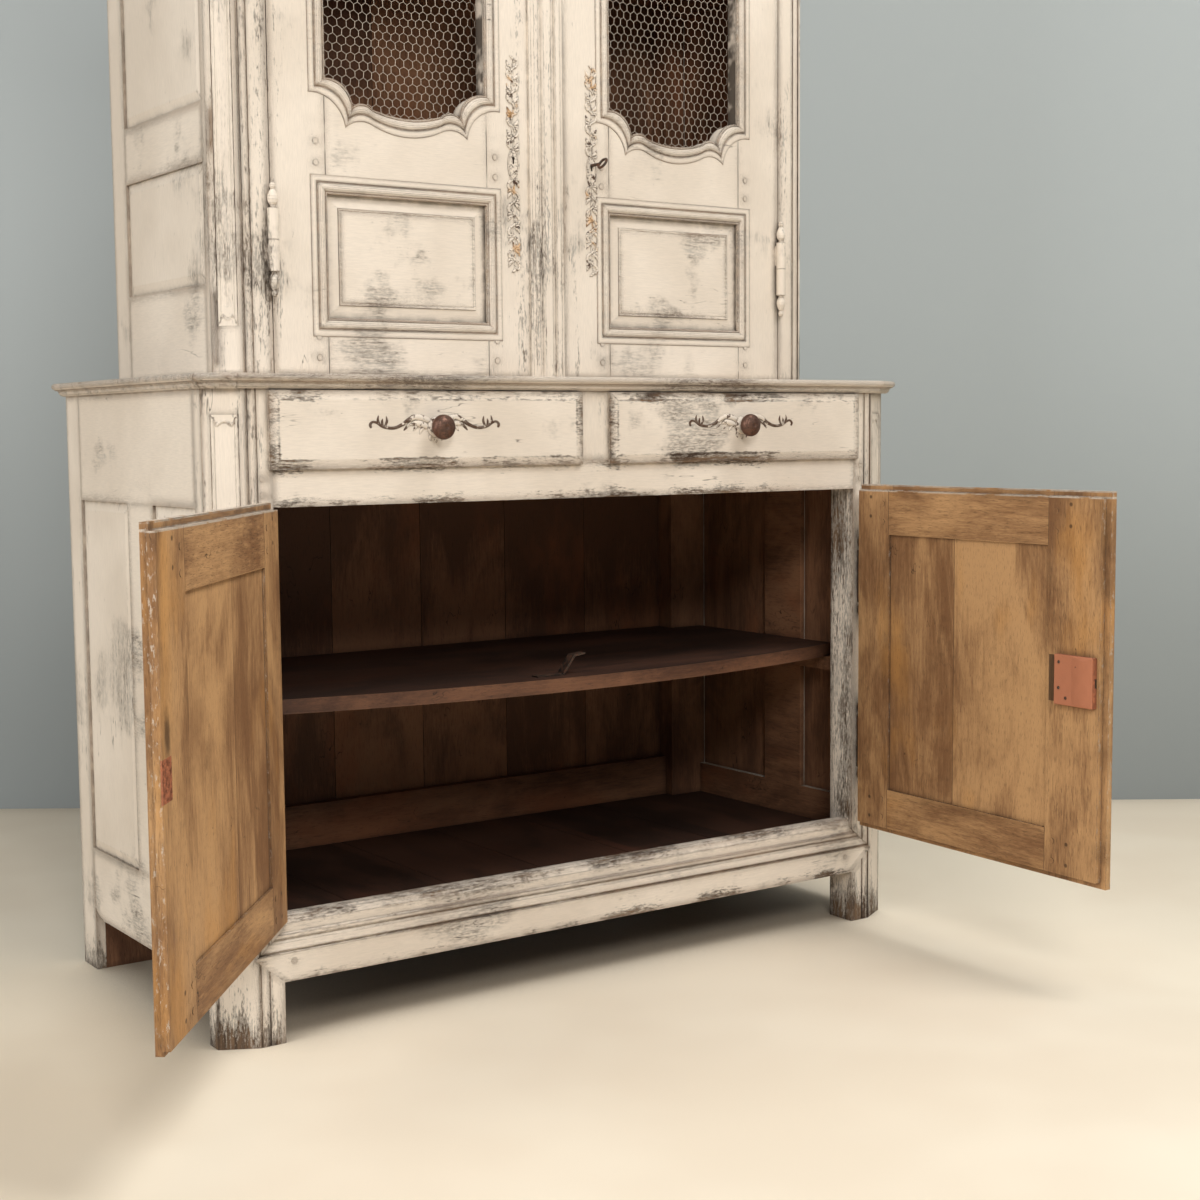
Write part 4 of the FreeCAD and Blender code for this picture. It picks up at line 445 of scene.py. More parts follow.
def bordered(name, node, wear, rubbing, border, least, arris=0.0, front=None):
    """Paint chipped along the border of one board, by at least the share least of the full amount. arris adds wear
    along a raised field, and front is where along Y the wear ends behind the face."""
    finish = Finish(name)
    low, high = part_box(node)
    x, y, z = finish.place.split()
    edge = (x - low[0]).min(high[0] - x).min(z - low[2]).min(high[2] - z)
    extra = edge.band(*BORDER_M, border, 0.0)
    if arris:
        extra += edge.within(*FIELD_ARRIS_M, 0.0022) * arris
    if front:
        extra *= y.band(*front, 1.0, 0.0)
    uneven = finish.place.noise(9.0).band(0.4, 0.6).lerp(least, 1.0)
    common = finish.common(ACROSS)
    look = finish.use(paint, {"Wear": wear, "Rubbing": rubbing, "Extra": extra * uneven, **common})
    return finish.done(look if front else finish.bare_inside(look, common))


print("border finish ready")

# %% [markdown]
# ## Door finishes
# A lower door is painted outside and bare inside, in one piece of wood. The finish asks each point which way its
# surface faces, in the door's own direction, and uses paint or oak. The doors stand open at their own angles, so the
# place is turned back by that angle first; stiles and rails can then be told apart as on a shut door. The panels are
# two boards, which the finish shows as a change of tone and a thin joint. An upper door frame is painted all over;
# there only the direction of the grain changes, and a hairline shows where stile and rail meet.

# %% Door finishes
AXIS_X, AXIS_Y = 0.579, -0.305
LEFT_OPEN, RIGHT_OPEN = math.radians(129.0), math.radians(87.5)
STILES = (0.093, 0.470)
JOINT_HALF_M, UPPER_JOINT_HALF_M = 0.0005, 0.0007
TOP_RAIL, LOW_RAIL = (0.715, 0.716), (0.2605, 0.2615)
BOARD_JOINT, SECOND_BOARD, PANEL_GAP = (0.2541, 0.2551), (0.2545, 0.2550), (0.0920, 0.0962)
LOCK_RECESS_X, LOCK_RECESS_Z = (0.4750, 0.4965), (0.468, 0.542)
RIMS = ((0.7897, 0.7930), (0.7992, 0.8030))
BURN_FLAT = 0.36
BURN = (0.556, 0.0185, 0.5565 * BURN_FLAT)
# pegs: middle and half distance across the door, up the door, and between the two of a joint
PEG_X, PEG_Z, PEG_APART = (0.2815, 0.235), (0.494, 0.269), 0.017


def door_finish(name, side, panel):
    """Paint outside and oak inside, with stiles upright and rails level; side is -1 for the left door."""
    finish = Finish(name)
    turn = LEFT_OPEN if side < 0 else -RIGHT_OPEN
    centred = finish.place.stretch(shift=(-side * AXIS_X, -AXIS_Y, 0))
    shut = centred.stretch(turn=(0, 0, turn))
    x, y, z = shut.split()
    reach = x * -side
    rail, tone = 0.0, 0.0
    if panel:
        tone = reach.band(*SECOND_BOARD).lerp(-0.03, 0.03)
        line = reach.within(*BOARD_JOINT, 0.0002).max(reach.within(*PANEL_GAP, 0.0005))
    else:
        beside_opening = z.band(*TOP_RAIL).max(z.band(*LOW_RAIL, 1.0, 0.0))
        rail = reach.within(*STILES) * beside_opening
        joints = [reach.within(at - JOINT_HALF_M, at + JOINT_HALF_M, 0.0002) for at in STILES]
        if side > 0:
            mark = reach.within(*LOCK_RECESS_X) * z.within(*LOCK_RECESS_Z)
        else:
            burnt = shut.stretch((1, 1, BURN_FLAT)).to("DISTANCE", BURN)
            mark = (burnt + shut.noise(60.0) * 0.012).band(0.009, 0.022, 0.95, 0.0)
        across = abs(reach - PEG_X[0]) - PEG_X[1]
        along = abs(abs(z - PEG_Z[0]) - PEG_Z[1]) - PEG_APART
        peg = finish.add("CombineXYZ", {0: across, 1: along}).to("DISTANCE", (0, 0, 0))
        line = ((joints[0] + joints[1]) * beside_opening).max(mark).max(peg.band(0.002, 0.0042, 0.9, 0.0))
    # the right door is moved in the noises, so that the two doors differ
    shifted = shut.stretch(shift=(0, 0, 0.37 if side > 0 else 0))
    grain = shifted.stretch(UP).toward(shifted.stretch(ACROSS), rail)
    common = {"Place": shifted, "Grain": grain, "Line": line, **finish.masks()}
    inner = finish.use(oak, {**HONEY, "Tone": tone, **common})
    outer = finish.use(paint, {"Wear": 1.3, "Rubbing": 0.8, **common})
    outward = finish.facing()
    front = outward.to("DOT_PRODUCT", (-math.sin(turn), -math.cos(turn), 0))
    aside = outward.to("DOT_PRODUCT", (-side * math.cos(turn), side * math.sin(turn), 0))
    brim = abs(outward.split()[2]).band(0.6, 0.8).max(abs(aside).band(0.6, 0.8))
    flakes = finish.place.stretch((1, 1, 0.35)).noise(190.0, 6.0, 0.75).band(0.56, 0.62, 0.0, 0.6)
    kept = common["Edge"].band(0.1, 0.5) * finish.place.noise(26.0).band(0.34, 0.5)
    share = front.band(0.2, 0.4).max(brim * flakes.max(kept))
    if not panel:
        rims = z.within(*RIMS[0], 0.0006).max(z.within(*RIMS[1], 0.0006))
        share = share.max(rims * finish.place.noise(30.0, 5.0, 0.7).band(0.36, 0.5, 0.0, 0.9))
    return finish.done(share.between(inner, outer))


def upper_finish(name, low_x, high_x):
    """Paint with upright stiles outside low_x..high_x and level rails between them, and their joints as hairlines."""
    finish = Finish(name)
    x, y, z = finish.place.split()
    upright_grain = finish.place.stretch(UP)
    grain = upright_grain.toward(finish.place.stretch(ACROSS), x.within(low_x, high_x))
    joints = [x.within(at - UPPER_JOINT_HALF_M, at + UPPER_JOINT_HALF_M, 0.0003) for at in (low_x, high_x)]
    joint = joints[0].max(joints[1]) * finish.place.noise(22.0, 3.0).band(0.35, 0.55)
    by_stile = abs(x).band(0.055, 0.075, 1.0, 0.0).max(abs(x).band(0.468, 0.490))
    common = {"Place": finish.place, "Grain": grain, **finish.masks()}
    look = finish.use(paint, {"Wear": 1.7, "Rubbing": 1.0, "Line": joint,
                              "Extra": by_stile * finish.streaks(upright_grain, 0.32), **common})
    return finish.done(finish.bare_inside(look, common))


print("door finishes ready")

# %% [markdown]
# ## Metal
# The hinges and escutcheons were painted over and have rusted through, the lock parts are bare rusty iron, and the
# pulls are dark bronze. All are one recipe: a base metal, a crust that noise spreads over it, and a worn shine at the
# edges. Where paint is left on cast metal, a second noise chooses between the two.

# %% Metal finishes
metal = Effect(
    "crusted metal",
    {"Place": None, "Metal": seen(70, 62, 56), "Crust": seen(104, 62, 40), "Worn": seen(140, 126, 112), "Spread": 0.5,
     **MASKS},
    LOOK + ("Metallic",),
)
take = metal.take
crust = (take["Place"].noise(160.0, 6.0, 0.7) + take["Spread"] * 0.3).band(0.55, 0.75)
colour = crust.mix(take["Metal"], take["Crust"])
colour = (take["Edge"] * (1.0 - crust) * 0.7).mix(colour, take["Worn"])
# hollows darken towards a near-black brown: partly patina, partly painted shade
colour = (take["Hollow"] * 0.8).mix(colour, seen(24, 18, 15))
metal.give(colour, crust.lerp(0.42, 0.85), take["Place"].noise(420.0), crust.lerp(0.85, 0.1))


def metallic(name, spread, *colours):
    """Bare metal; the screen colours are the metal's own, its crust's and that of its worn edges."""
    finish = Finish(name)
    look = finish.use(metal, {"Place": finish.place, "Spread": spread, **finish.masks(0.001, 0.004),
                              **{key: seen(*colour) for key, colour in zip(("Metal", "Crust", "Worn"), colours)}})
    finish.link(look[3], finish.shader["Metallic"])
    return finish.done(look, METAL_BUMP_M)


def part_painted(name, metal_share, rust, middle=None, grime_and_shade_specks=0.0):
    """Paint left on cast metal. rust adds orange stains, and specks dark points that stand partly for grime and
    partly for painted shade in the crevices of the cast; middle keeps more of the paint near that distance from the
    cupboard's middle."""
    finish = Finish(name)
    place = finish.place
    common = {"Place": place, **finish.masks(0.0008, 0.003)}
    under = finish.use(metal, {"Metal": seen(104, 88, 76), "Crust": seen(84, 60, 46), "Worn": seen(150, 130, 112),
                               **common})
    over = finish.use(paint, {"Grain": place, "Wear": 0.9, "Rubbing": 0.4, **common})
    gone = place.noise(85.0) + common["Edge"] * 0.12
    if middle:
        gone += abs(abs(place.split()[0]) - middle).band(0.034, 0.058, -0.17, 0.0)
    limit = 0.62 - metal_share * 0.3
    look = gone.band(limit, limit + 0.06).between(over, under)
    colour = place.noise(26.0).band(0.54, 0.66, 0.0, rust).mix(look[0], seen(204, 158, 104))
    # dark points over the cast: partly grime, partly painted shade for its crevices
    colour = place.noise(330.0, 3.0).band(0.54, 0.62, 0.0, grime_and_shade_specks).mix(colour, GRIME_AND_SHADE)
    return finish.done([colour] + look[1:], METAL_BUMP_M)


iron = metallic("iron", 0.4, (76, 68, 62), (96, 62, 44), (150, 140, 130))
# near-black iron for the keyholes, which stands for the shade inside each hole
keyhole_shade = metallic("keyhole_shade", 0.7, (34, 28, 24), (44, 30, 22), (60, 52, 46))
rusty = metallic("rusty_iron", 0.45, (170, 112, 88), (176, 108, 76), (206, 160, 130))
bronze = metallic("bronze", 0.35, (112, 84, 72), (80, 60, 50), (176, 146, 126))
wire = metallic("wire", 1.4, (190, 180, 166), (196, 184, 168), (236, 230, 216))
coppery = metallic("coppery", 1.3, (190, 124, 94), (186, 122, 92), (222, 176, 146))
plate_finish = part_painted("plate_finish", 0.85, 0.0, middle=0.2995)
escutcheon_finish = part_painted("escutcheon_finish", 0.12, 0.7, grime_and_shade_specks=0.75)
print("metals ready, and", len(bpy.data.materials), "materials so far")

# %% [markdown]
# ## Dress the CAD pieces
# A CAD piece whose shape is right keeps its mesh and only gets a finish. The list says which way each board's grain
# runs, how worn it is, and where.

# %% Give the CAD nodes their finishes
# the opening of each upper door, without its stiles
UPPER_DOORS = (("left", -0.406, -0.1174), ("right", 0.1244, 0.406))
paint_top = painted("paint_top", ACROSS, 1.9, 0.9, bare_inside=False, reach=0.004, strip=0.008, all_over=0.3)
paint_strip = painted("paint_strip", ACROSS, 2.1, 0.9, bare_inside=False, reach=0.003, strip=0.008)
paint_field = painted("paint_field", ACROSS, 1.2, 1.6, bare_inside=False, reach=0.0015, strip=0.016)
paint_post = painted("paint_post", UP, 0.6, 1.4, 0.5, False, 0.0012, 0.0025, all_over=0.26)
FINISHES = {
    painted("paint_post_up", UP, 1.75, 1.1, 0.6, rubbed_in=0.34, all_over=0.28):
        "base_front_post_left base_front_post_right base_drawer_divider",
    painted("paint_post_streaked", UP, 1.7, 1.2, all_over=0.3): "upper_front_post_left upper_front_post_right",
    painted("paint_batten", UP, 0.45, 1.2, reach=0.002, strip=0.004, all_over=0.4): "upper_left_batten",
    painted("paint_up", UP, 1.7, 1.0, 0.6): "base_rear_posts upper_rear_posts base_side_panels upper_side_panels",
    painted("paint_across", ACROSS, 1.6, 1.0):
        "base_pegs upper_frieze_rail upper_cornice upper_left_panel upper_right_panel",
    painted("paint_back", BACK, 1.6, 1.2, 0.6): "base_side_rails upper_side_rails",
    paint_top: "base_top_board",
    bordered("apron_paint", "base_apron_rail", 1.3, 1.1, 0.62, 0.1): "base_apron_rail",
    bordered("rail_paint", "base_bottom_rail", 1.35, 1.1, 0.6, 0.15): "base_bottom_rail",
    painted("paint_metal", UP, 1.3, 1.3, bare_inside=False, reach=0.0012, strip=0.003, all_over=0.42):
        "upper_left_knuckles upper_right_knuckles upper_hinge_pins upper_left_escutcheon upper_right_escutcheon",
    # painted shade: these boards darken towards the top board
    oaken("inside_up", UP, INSIDE, row=("base_back_boards", 6), shade_heights=(0.5, 0.8)): "base_back_boards",
    oaken("upper_inside_up", UP, INSIDE, row=("upper_back_boards", 5)): "upper_back_boards",
    oaken("inside_across", ACROSS, INSIDE): "base_back_rails base_cleats drawer_runners upper_floor_board "
                                            "upper_shelves upper_cleats upper_roof_board",
    oaken("inside_back", BACK, INSIDE): "left_drawer_box right_drawer_box",
    oaken("dark_across", ACROSS, DARK, edge=SHELF_EDGE): "base_shelf",
    oaken("dark_back", BACK, DARK, row=("base_floor_boards", 6)): "base_floor_boards",
    iron: "shelf_catch lower_hinge_pins lower_left_knuckles lower_right_knuckles upper_lock_case upper_lock_bolt "
          "upper_key lower_lock_bolt",
    rusty: "lower_lock_case lower_left_keeper",
    bronze: "left_drawer_pull right_drawer_pull",
    wire: "upper_left_mesh upper_right_mesh",
}
for (word, low_x, high_x), side in zip(UPPER_DOORS, (-1, 1)):
    FINISHES[upper_finish(f"upper_{word}_paint", low_x, high_x)] = f"upper_{word}_frame"
    FINISHES[door_finish(f"{word}_door_frame", side, False)] = f"lower_{word}_frame"
    FINISHES[door_finish(f"{word}_door_panel", side, True)] = f"lower_{word}_panel"
    drawer = f"{word}_drawer_front"
    FINISHES[bordered(f"{word}_drawer_paint", drawer, 1.6, 1.6, 0.64, 0.35, 0.34, DRAWER_FRONT)] = drawer
dressed = set()
for material, names in FINISHES.items():
    for node_name in names.split():
        slots = nodes[node_name].data.materials
        slots.clear()
        slots.append(material)
        dressed.add(node_name)
print("dressed", len(dressed), "of", len(nodes), "missing", sorted(set(nodes) - dressed))

# %% [markdown]
# ## New surfaces
# Every new piece below is a grid of points worked out at once with numpy: rows along one direction, columns along
# the other. One function names the quads between them, and another makes the mesh and lets it ride on its body.

# %% Grid helpers


def grid_faces(rows, columns, loop_rows=False, loop_columns=False):
    """Quads between neighbouring rows and columns; a loop joins the last to the first."""
    r, c = np.meshgrid(np.arange(rows - 1 + loop_rows), np.arange(columns - 1 + loop_columns), indexing="ij")
    r2, c2 = (r + 1) % rows, (c + 1) % columns
    return np.stack([r * columns + c, r2 * columns + c, r2 * columns + c2, r * columns + c2], -1).reshape(-1, 4)


def tube(rings, sides, turned=False):
    """Faces of a tube of rings, with a cap at each end; turned is for rings that run the other way round."""
    quads = grid_faces(rings, sides, loop_columns=True)
    caps = [list(range(sides))[::-1], list(range((rings - 1) * sides, rings * sides))]
    return (quads[:, ::-1] if turned else quads).tolist() + caps


def mesh_object(name, points, faces, finish):
    """A mesh object in the scene."""
    mesh = bpy.data.meshes.new(name)
    mesh.from_pydata(np.asarray(points, float).reshape(-1, 3).tolist(), [],
                     [[int(index) for index in face] for face in faces])
    mesh.materials.append(finish)
    mesh.validate()
    piece = bpy.data.objects.new(name, mesh)
    bpy.context.scene.collection.objects.link(piece)
    return piece


def new_piece(name, points, faces, body, finish, replaced=None):
    """A piece that rides on a body, in place of a CAD node where one is named."""
    piece = mesh_object(name, points, faces, finish)
    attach(piece, body)
    if replaced:
        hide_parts(replaced)
    return piece


def relief(name, u, v, height, base, put, body, slot, finish):
    """A raised sheet over a rectangle: put(u, v, height(u, v)) places its points, and upright sides go down to base,
    where a flat back closes it."""
    wide, high = np.meshgrid(u, v)
    top = put(wide, high, height(wide, high)).reshape(-1, 3)
    index = np.arange(wide.size).reshape(wide.shape)
    border = np.concatenate([index[0, :-1], index[:-1, -1], index[-1, :0:-1], index[:0:-1, 0]])
    low = put(wide.ravel()[border], high.ravel()[border], np.full(len(border), base))
    below = len(top) + np.arange(len(border))
    sides = np.stack([border, np.roll(border, -1), np.roll(below, -1), below], 1).tolist()
    faces = grid_faces(*wide.shape)[:, ::-1].tolist() + sides + [below.tolist()]
    piece = new_piece(name, np.concatenate([top, low]), faces, body, finish)
    shape = bmesh.new()
    shape.from_mesh(piece.data)
    bmesh.ops.recalc_face_normals(shape, faces=shape.faces)
    shape.to_mesh(piece.data)
    shape.free()


def stations(low, high, ends, gap, count):
    """Places from low to high: close together at both ends, and evenly spread in between."""
    return np.concatenate([low + ends, np.linspace(low + gap, high - gap, count), high - ends[::-1]])


def to_edge(u, v, low, high):
    """Distance to the nearest side of a rectangle."""
    return np.minimum(np.minimum(u - low[0], high[0] - u), np.minimum(v - low[1], high[1] - v))


def shoulder(edge, width):
    """Quarter circle up from an edge: root of one minus the square of one minus the share of the width."""
    return np.sqrt(np.clip(1 - (1 - np.clip(edge / width, 0, 1)) ** 2, 0, 1))


def hump(distance, middle, half_width):
    """Half an ellipse over the distance: root of one minus the squared share, and zero outside."""
    return np.sqrt(np.clip(1 - ((distance - middle) / half_width) ** 2, 0, 1))


print("grid helpers ready")

# %% [markdown]
# ## Wire netting
# The upper doors are closed with fine six-sided netting, twisted at each upright side. It could be an image with
# holes, but then it would vanish from the side and cast a flat shadow. Here every wire is a thin three-sided bar. The
# corners of the cells are pushed about a little by smooth waves, because old netting is never square.

# %% Netting
CELL_M = 0.0146
WIRE_M = 0.00036
TWIST_THICKER = 1.5
NET_Z = (1.386, 1.982)
NET_OVERLAP_M = 0.012
NET_Y = -0.1390
SWAY_M, SWAY_DEEP_M = 0.0011, 0.0012


def sway(p):
    """Push a point sideways by sums of slow sine waves of its place."""
    a, b = p[:, 0] * 61 + p[:, 1] * 23, p[:, 1] * 57 - p[:, 0] * 31
    shift = np.stack([np.sin(a) + 0.6 * np.sin(2.7 * b + 1), np.sin(b + 2) + 0.6 * np.sin(2.3 * a)], 1)
    depth = SWAY_DEEP_M * np.sin(p[:, 0] * 37 + 1) * np.sin(p[:, 1] * 19)
    moved = p + SWAY_M * shift
    return np.stack([moved[:, 0], NET_Y + depth, moved[:, 1]], 1)


def netting(word, low, high):
    """Corners of six-sided cells in rows: each row is shifted by half a cell, and the rows are 0.866 cells apart.
    Three wires leave each cell's lower corner: one down and two sideways up."""
    row_step = CELL_M * 0.75 ** 0.5
    side = CELL_M / 3 ** 0.5
    counts = int((high[1] - low[1]) / row_step), int((high[0] - low[0]) / CELL_M)
    r, c = np.meshgrid(*map(np.arange, counts), indexing="ij")
    x = low[0] + (c + 0.5 + 0.5 * (r % 2)) * CELL_M
    corner = np.stack([x.ravel(), (low[1] + r * row_step + side).ravel()], 1)
    ways = np.array([(0, -side), (-CELL_M / 2, side / 2), (CELL_M / 2, side / 2)])
    start = sway(np.concatenate([corner] * 3))
    end = sway(np.concatenate([corner + way for way in ways]))
    inside = (end[:, 0] > low[0]) & (end[:, 0] < high[0]) & (end[:, 2] > low[1]) & (end[:, 2] < high[1])
    start, end = start[inside], end[inside]
    along = end - start
    along /= np.linalg.norm(along, axis=1, keepdims=True)
    out = np.tile([0.0, 1.0, 0.0], (len(along), 1))
    side_way = np.cross(along, out)
    thick = np.where(np.abs(along[:, 0]) < 0.3, TWIST_THICKER, 1.0)[:, None] * WIRE_M
    ring = [(out * math.sin(a) + side_way * math.cos(a)) * thick for a in np.radians([90, 210, 330])]
    points = np.stack([start + part for part in ring] + [end + part for part in ring], 1)
    faces = np.arange(len(start))[:, None, None] * 6 + np.array([[0, 1, 4, 3], [1, 2, 5, 4], [2, 0, 3, 5]])
    new_piece(f"upper_{word}_netting", points, faces.reshape(-1, 4), f"upper_{word}_door", wire,
              f"upper_{word}_mesh")
    print(word, "net:", len(start), "wires")


for word, low_x, high_x in UPPER_DOORS:
    netting(word, (low_x - NET_OVERLAP_M, NET_Z[0] - NET_OVERLAP_M), (high_x + NET_OVERLAP_M, NET_Z[1] + NET_OVERLAP_M))

# %% [markdown]
# ## Mouldings of the doors
# Each opening and panel is edged by a moulding: a thin fillet, a fat round, a dark quirk and a soft hollow that runs
# out on the flat of the frame. Around the netting its lower and upper edges swing in two ears and a shallow bowl. A
# sweep along the edge would fold over itself in the tight cusps, so the moulding is blended between two drawn lines
# instead: the inner edge and the outer edge, which have the same number of points. The lower doors' mouldings are
# worked out on the shut door and then turned to where it stands.

# %% Moulding round an opening
# (share of the way from the inner to the outer line, height over the frame in metres)
MOULDING = np.array([
    (-0.09, -0.004), (-0.09, -0.0005), (-0.06, 0.0006), (0.03, 0.0008), (0.05, 0.0002), (0.09, 0.0014), (0.18, 0.0029),
    (0.28, 0.0034), (0.39, 0.0030), (0.48, 0.0018), (0.53, 0.0004), (0.57, 0.0003), (0.62, 0.0012), (0.72, 0.0016),
    (0.86, 0.0014), (0.97, 0.0010), (1.0, -0.0010),
])
# (share of the width, share of the rise) on the left half of a shaped edge
INNER_SHARES = ((0, 1), (0.118, 0.78), (0.166, 0.2), (0.215, 0.33), (0.285, 0.2), (0.5, 0))
OUTER_SHARES = ((0, 0.56), (0.125, 0.3), (0.182, -0.42), (0.25, -0.19), (0.325, -0.28), (0.5, -0.54))
ARC_POINTS = 14
NET_RISE_M = 0.050
BAND_M = 0.027
UPPER_FACE, LOWER_FACE = -0.1675, -0.3085
PANEL_Z = (1.074, 1.266)
LOWER_PANEL_X, LOWER_PANEL_Z = (0.10875, 0.486), (0.2615, 0.7145)


def arc(start, via, end, count):
    """Points on the circle through three points, from start to end: the centre is equally far from all three."""
    start, via, end = (np.array(p, float) for p in (start, via, end))
    a, b = via - start, end - start
    cross = 2 * (a[0] * b[1] - a[1] * b[0])
    centre = start + np.array([b[1] * a.dot(a) - a[1] * b.dot(b), a[0] * b.dot(b) - b[0] * a.dot(a)]) / cross
    angles = [math.atan2(*(p - centre)[::-1]) for p in (start, via, end)]
    sweep = (angles[2] - angles[0]) % (2 * math.pi)
    if (angles[1] - angles[0]) % (2 * math.pi) > sweep:
        sweep -= 2 * math.pi
    t = angles[0] + np.linspace(0, 1, count) * sweep
    return centre + np.linalg.norm(start - centre) * np.stack([np.cos(t), np.sin(t)], 1)


def serpentine(low_x, high_x, base, shares):
    """One shaped edge from left to right: arcs through the shares of width and rise, then the same mirrored."""
    spots = [np.array([low_x + (high_x - low_x) * u, base + NET_RISE_M * w]) for u, w in shares]
    left = np.concatenate([arc(*spots[0:3], ARC_POINTS), arc(*spots[2:5], ARC_POINTS)[1:]])
    middle = arc(spots[4], spots[5], (low_x + high_x - spots[4][0], spots[4][1]), 2 * ARC_POINTS)
    return np.concatenate([left, middle[1:-1], left[::-1] * [-1, 1] + [low_x + high_x, 0]])


def surround(name, body, lines, face_y, put=None):
    """A closed band: point(s, u) = inner(s) + (outer(s) - inner(s)) * u, raised by the profile's height. put moves
    its points at the end."""
    inner, outer = lines
    plan = inner[:, None] + (outer - inner)[:, None] * MOULDING[:, 0][None, :, None]
    y = np.broadcast_to(face_y - MOULDING[:, 1], plan.shape[:2])
    points = np.stack([plan[..., 0], y, plan[..., 1]], -1)
    faces = grid_faces(*plan.shape[:2], loop_rows=True, loop_columns=True)
    new_piece(name, put(points) if put else points, faces, body, paint_strip)


def net_lines(low_x, high_x):
    """Inner and outer line of the moulding round the netting: the shaped lower edge, and the same turned half round."""
    low = [serpentine(low_x, high_x, NET_Z[0], INNER_SHARES),
           serpentine(low_x - BAND_M, high_x + BAND_M, NET_Z[0], OUTER_SHARES)]
    return [np.concatenate([line, np.array([low_x + high_x, sum(NET_Z)]) - line]) for line in low]


def box_lines(low_x, high_x, low_z, high_z):
    """Inner and outer rectangle of a moulding, anticlockwise seen from the front."""
    inner = np.array([(low_x, low_z), (high_x, low_z), (high_x, high_z), (low_x, high_z)])
    return inner, inner + np.array([(-1, -1), (1, -1), (1, 1), (-1, 1)]) * BAND_M


def swung(side):
    """Turn points of a shut lower door to the open one: about its hinge axis, by the angle at which it stands."""
    angle = -LEFT_OPEN if side < 0 else RIGHT_OPEN
    c, s = math.cos(angle), math.sin(angle)
    turning = np.array([[c, s, 0], [-s, c, 0], [0, 0, 1]])
    centre = np.array([side * AXIS_X, AXIS_Y, 0])
    return lambda points: (points - centre) @ turning + centre


for word, low_x, high_x in UPPER_DOORS:
    surround(f"upper_{word}_net_moulding", f"upper_{word}_door", net_lines(low_x, high_x), UPPER_FACE)
    surround(f"upper_{word}_panel_moulding", f"upper_{word}_door", box_lines(low_x, high_x, *PANEL_Z), UPPER_FACE)
for word, side in (("left", -1), ("right", 1)):
    lines = box_lines(*sorted(side * x for x in LOWER_PANEL_X), *LOWER_PANEL_Z)
    surround(f"lower_{word}_panel_moulding", f"lower_{word}_door", lines, LOWER_FACE, swung(side))

# %% [markdown]
# ## Raised fields of the upper panels
# Inside its flat margin each panel has a field with a crisp little step round it. In the CAD model only a soft bevel
# stands for it. A height that depends on the distance to the field's edge gives the step, the round arris and a fine
# quirk behind it.

# %% Raised fields
FIELD_INSET_M = 0.0215
FIELD_RISE_M, ARRIS_M = 0.0015, 0.0012
QUIRK_DEEP_M, QUIRK_AT_M, QUIRK_HALF_M = 0.0005, 0.0046, 0.0014
FIELD_ENDS = np.array([0.0, 0.0003, 0.0007, 0.0012, 0.0020, 0.0030, 0.0036, 0.0042, 0.0050, 0.0058, 0.0070])
for word, low_x, high_x in UPPER_DOORS:
    low, high = (np.array(ends) for ends in zip((low_x, high_x), PANEL_Z))
    low, high = low + FIELD_INSET_M, high - FIELD_INSET_M
    face_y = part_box(f"upper_{word}_panel")[0][1]

    def field_height(u, v, low=low, high=high):
        """Height by the distance to the edge: up a round arris, then a small dip, deepest where the quirk is."""
        edge = to_edge(u, v, low, high)
        dip = np.clip(1 - np.abs(edge - QUIRK_AT_M) / QUIRK_HALF_M, 0, 1)
        return FIELD_RISE_M * shoulder(edge, ARRIS_M) - QUIRK_DEEP_M * dip

    u, v = (stations(*ends, FIELD_ENDS, 0.02, count) for *ends, count in zip(low, high, (9, 7)))
    relief(f"upper_{word}_field", u, v, field_height, -FIELD_RISE_M,
           lambda u, v, h, y=face_y: np.stack([u, y - h, v], -1), f"upper_{word}_door", "cream_paint", paint_field)
print("fields: 2")

# %% [markdown]
# ## Sunk panels of the canted posts
# The cut-off corners carry long shallow panels with a thin bead all round. At their ends the bead swings like a
# bracket, and on the upper posts a round-ended flute runs up the middle. All of it is one height over the canted face,
# worked out from the distance to the panel's edge and to the flute's middle line, so it is a surface of two
# parameters: the share across the panel and the height on the post.

# %% Post panels
RECESS_M = 0.0025
# the panel's share of the canted face, and its levels: beside the bead, in the groove inside it, and on the field
PANEL_SHARE = (0.15, 0.8)
RIM_LEVEL, GROOVE_LEVEL, FIELD_LEVEL = -0.0002, -0.0015, -0.0009
RIM_END_M, GROOVE_END_M = 0.0006, 0.0056
PANEL_GAP_M, BRACKET_M, PEAK_M, PEAK_SHARE = 0.0002, 0.006, 0.007, 0.13
BEAD_HIGH_M, BEAD_AT_M, BEAD_HALF_M = 0.0022, 0.0031, 0.0024
FLUTE_DEEP_M, FLUTE_HALF_M, FLUTE_STOP_M = 0.0013, 0.0070, 0.036
POST_ENDS = 0.0003 + np.linspace(0, 0.045, 34)
POST_SHARES = (1 - np.cos(np.linspace(0, math.pi, 33))) / 2


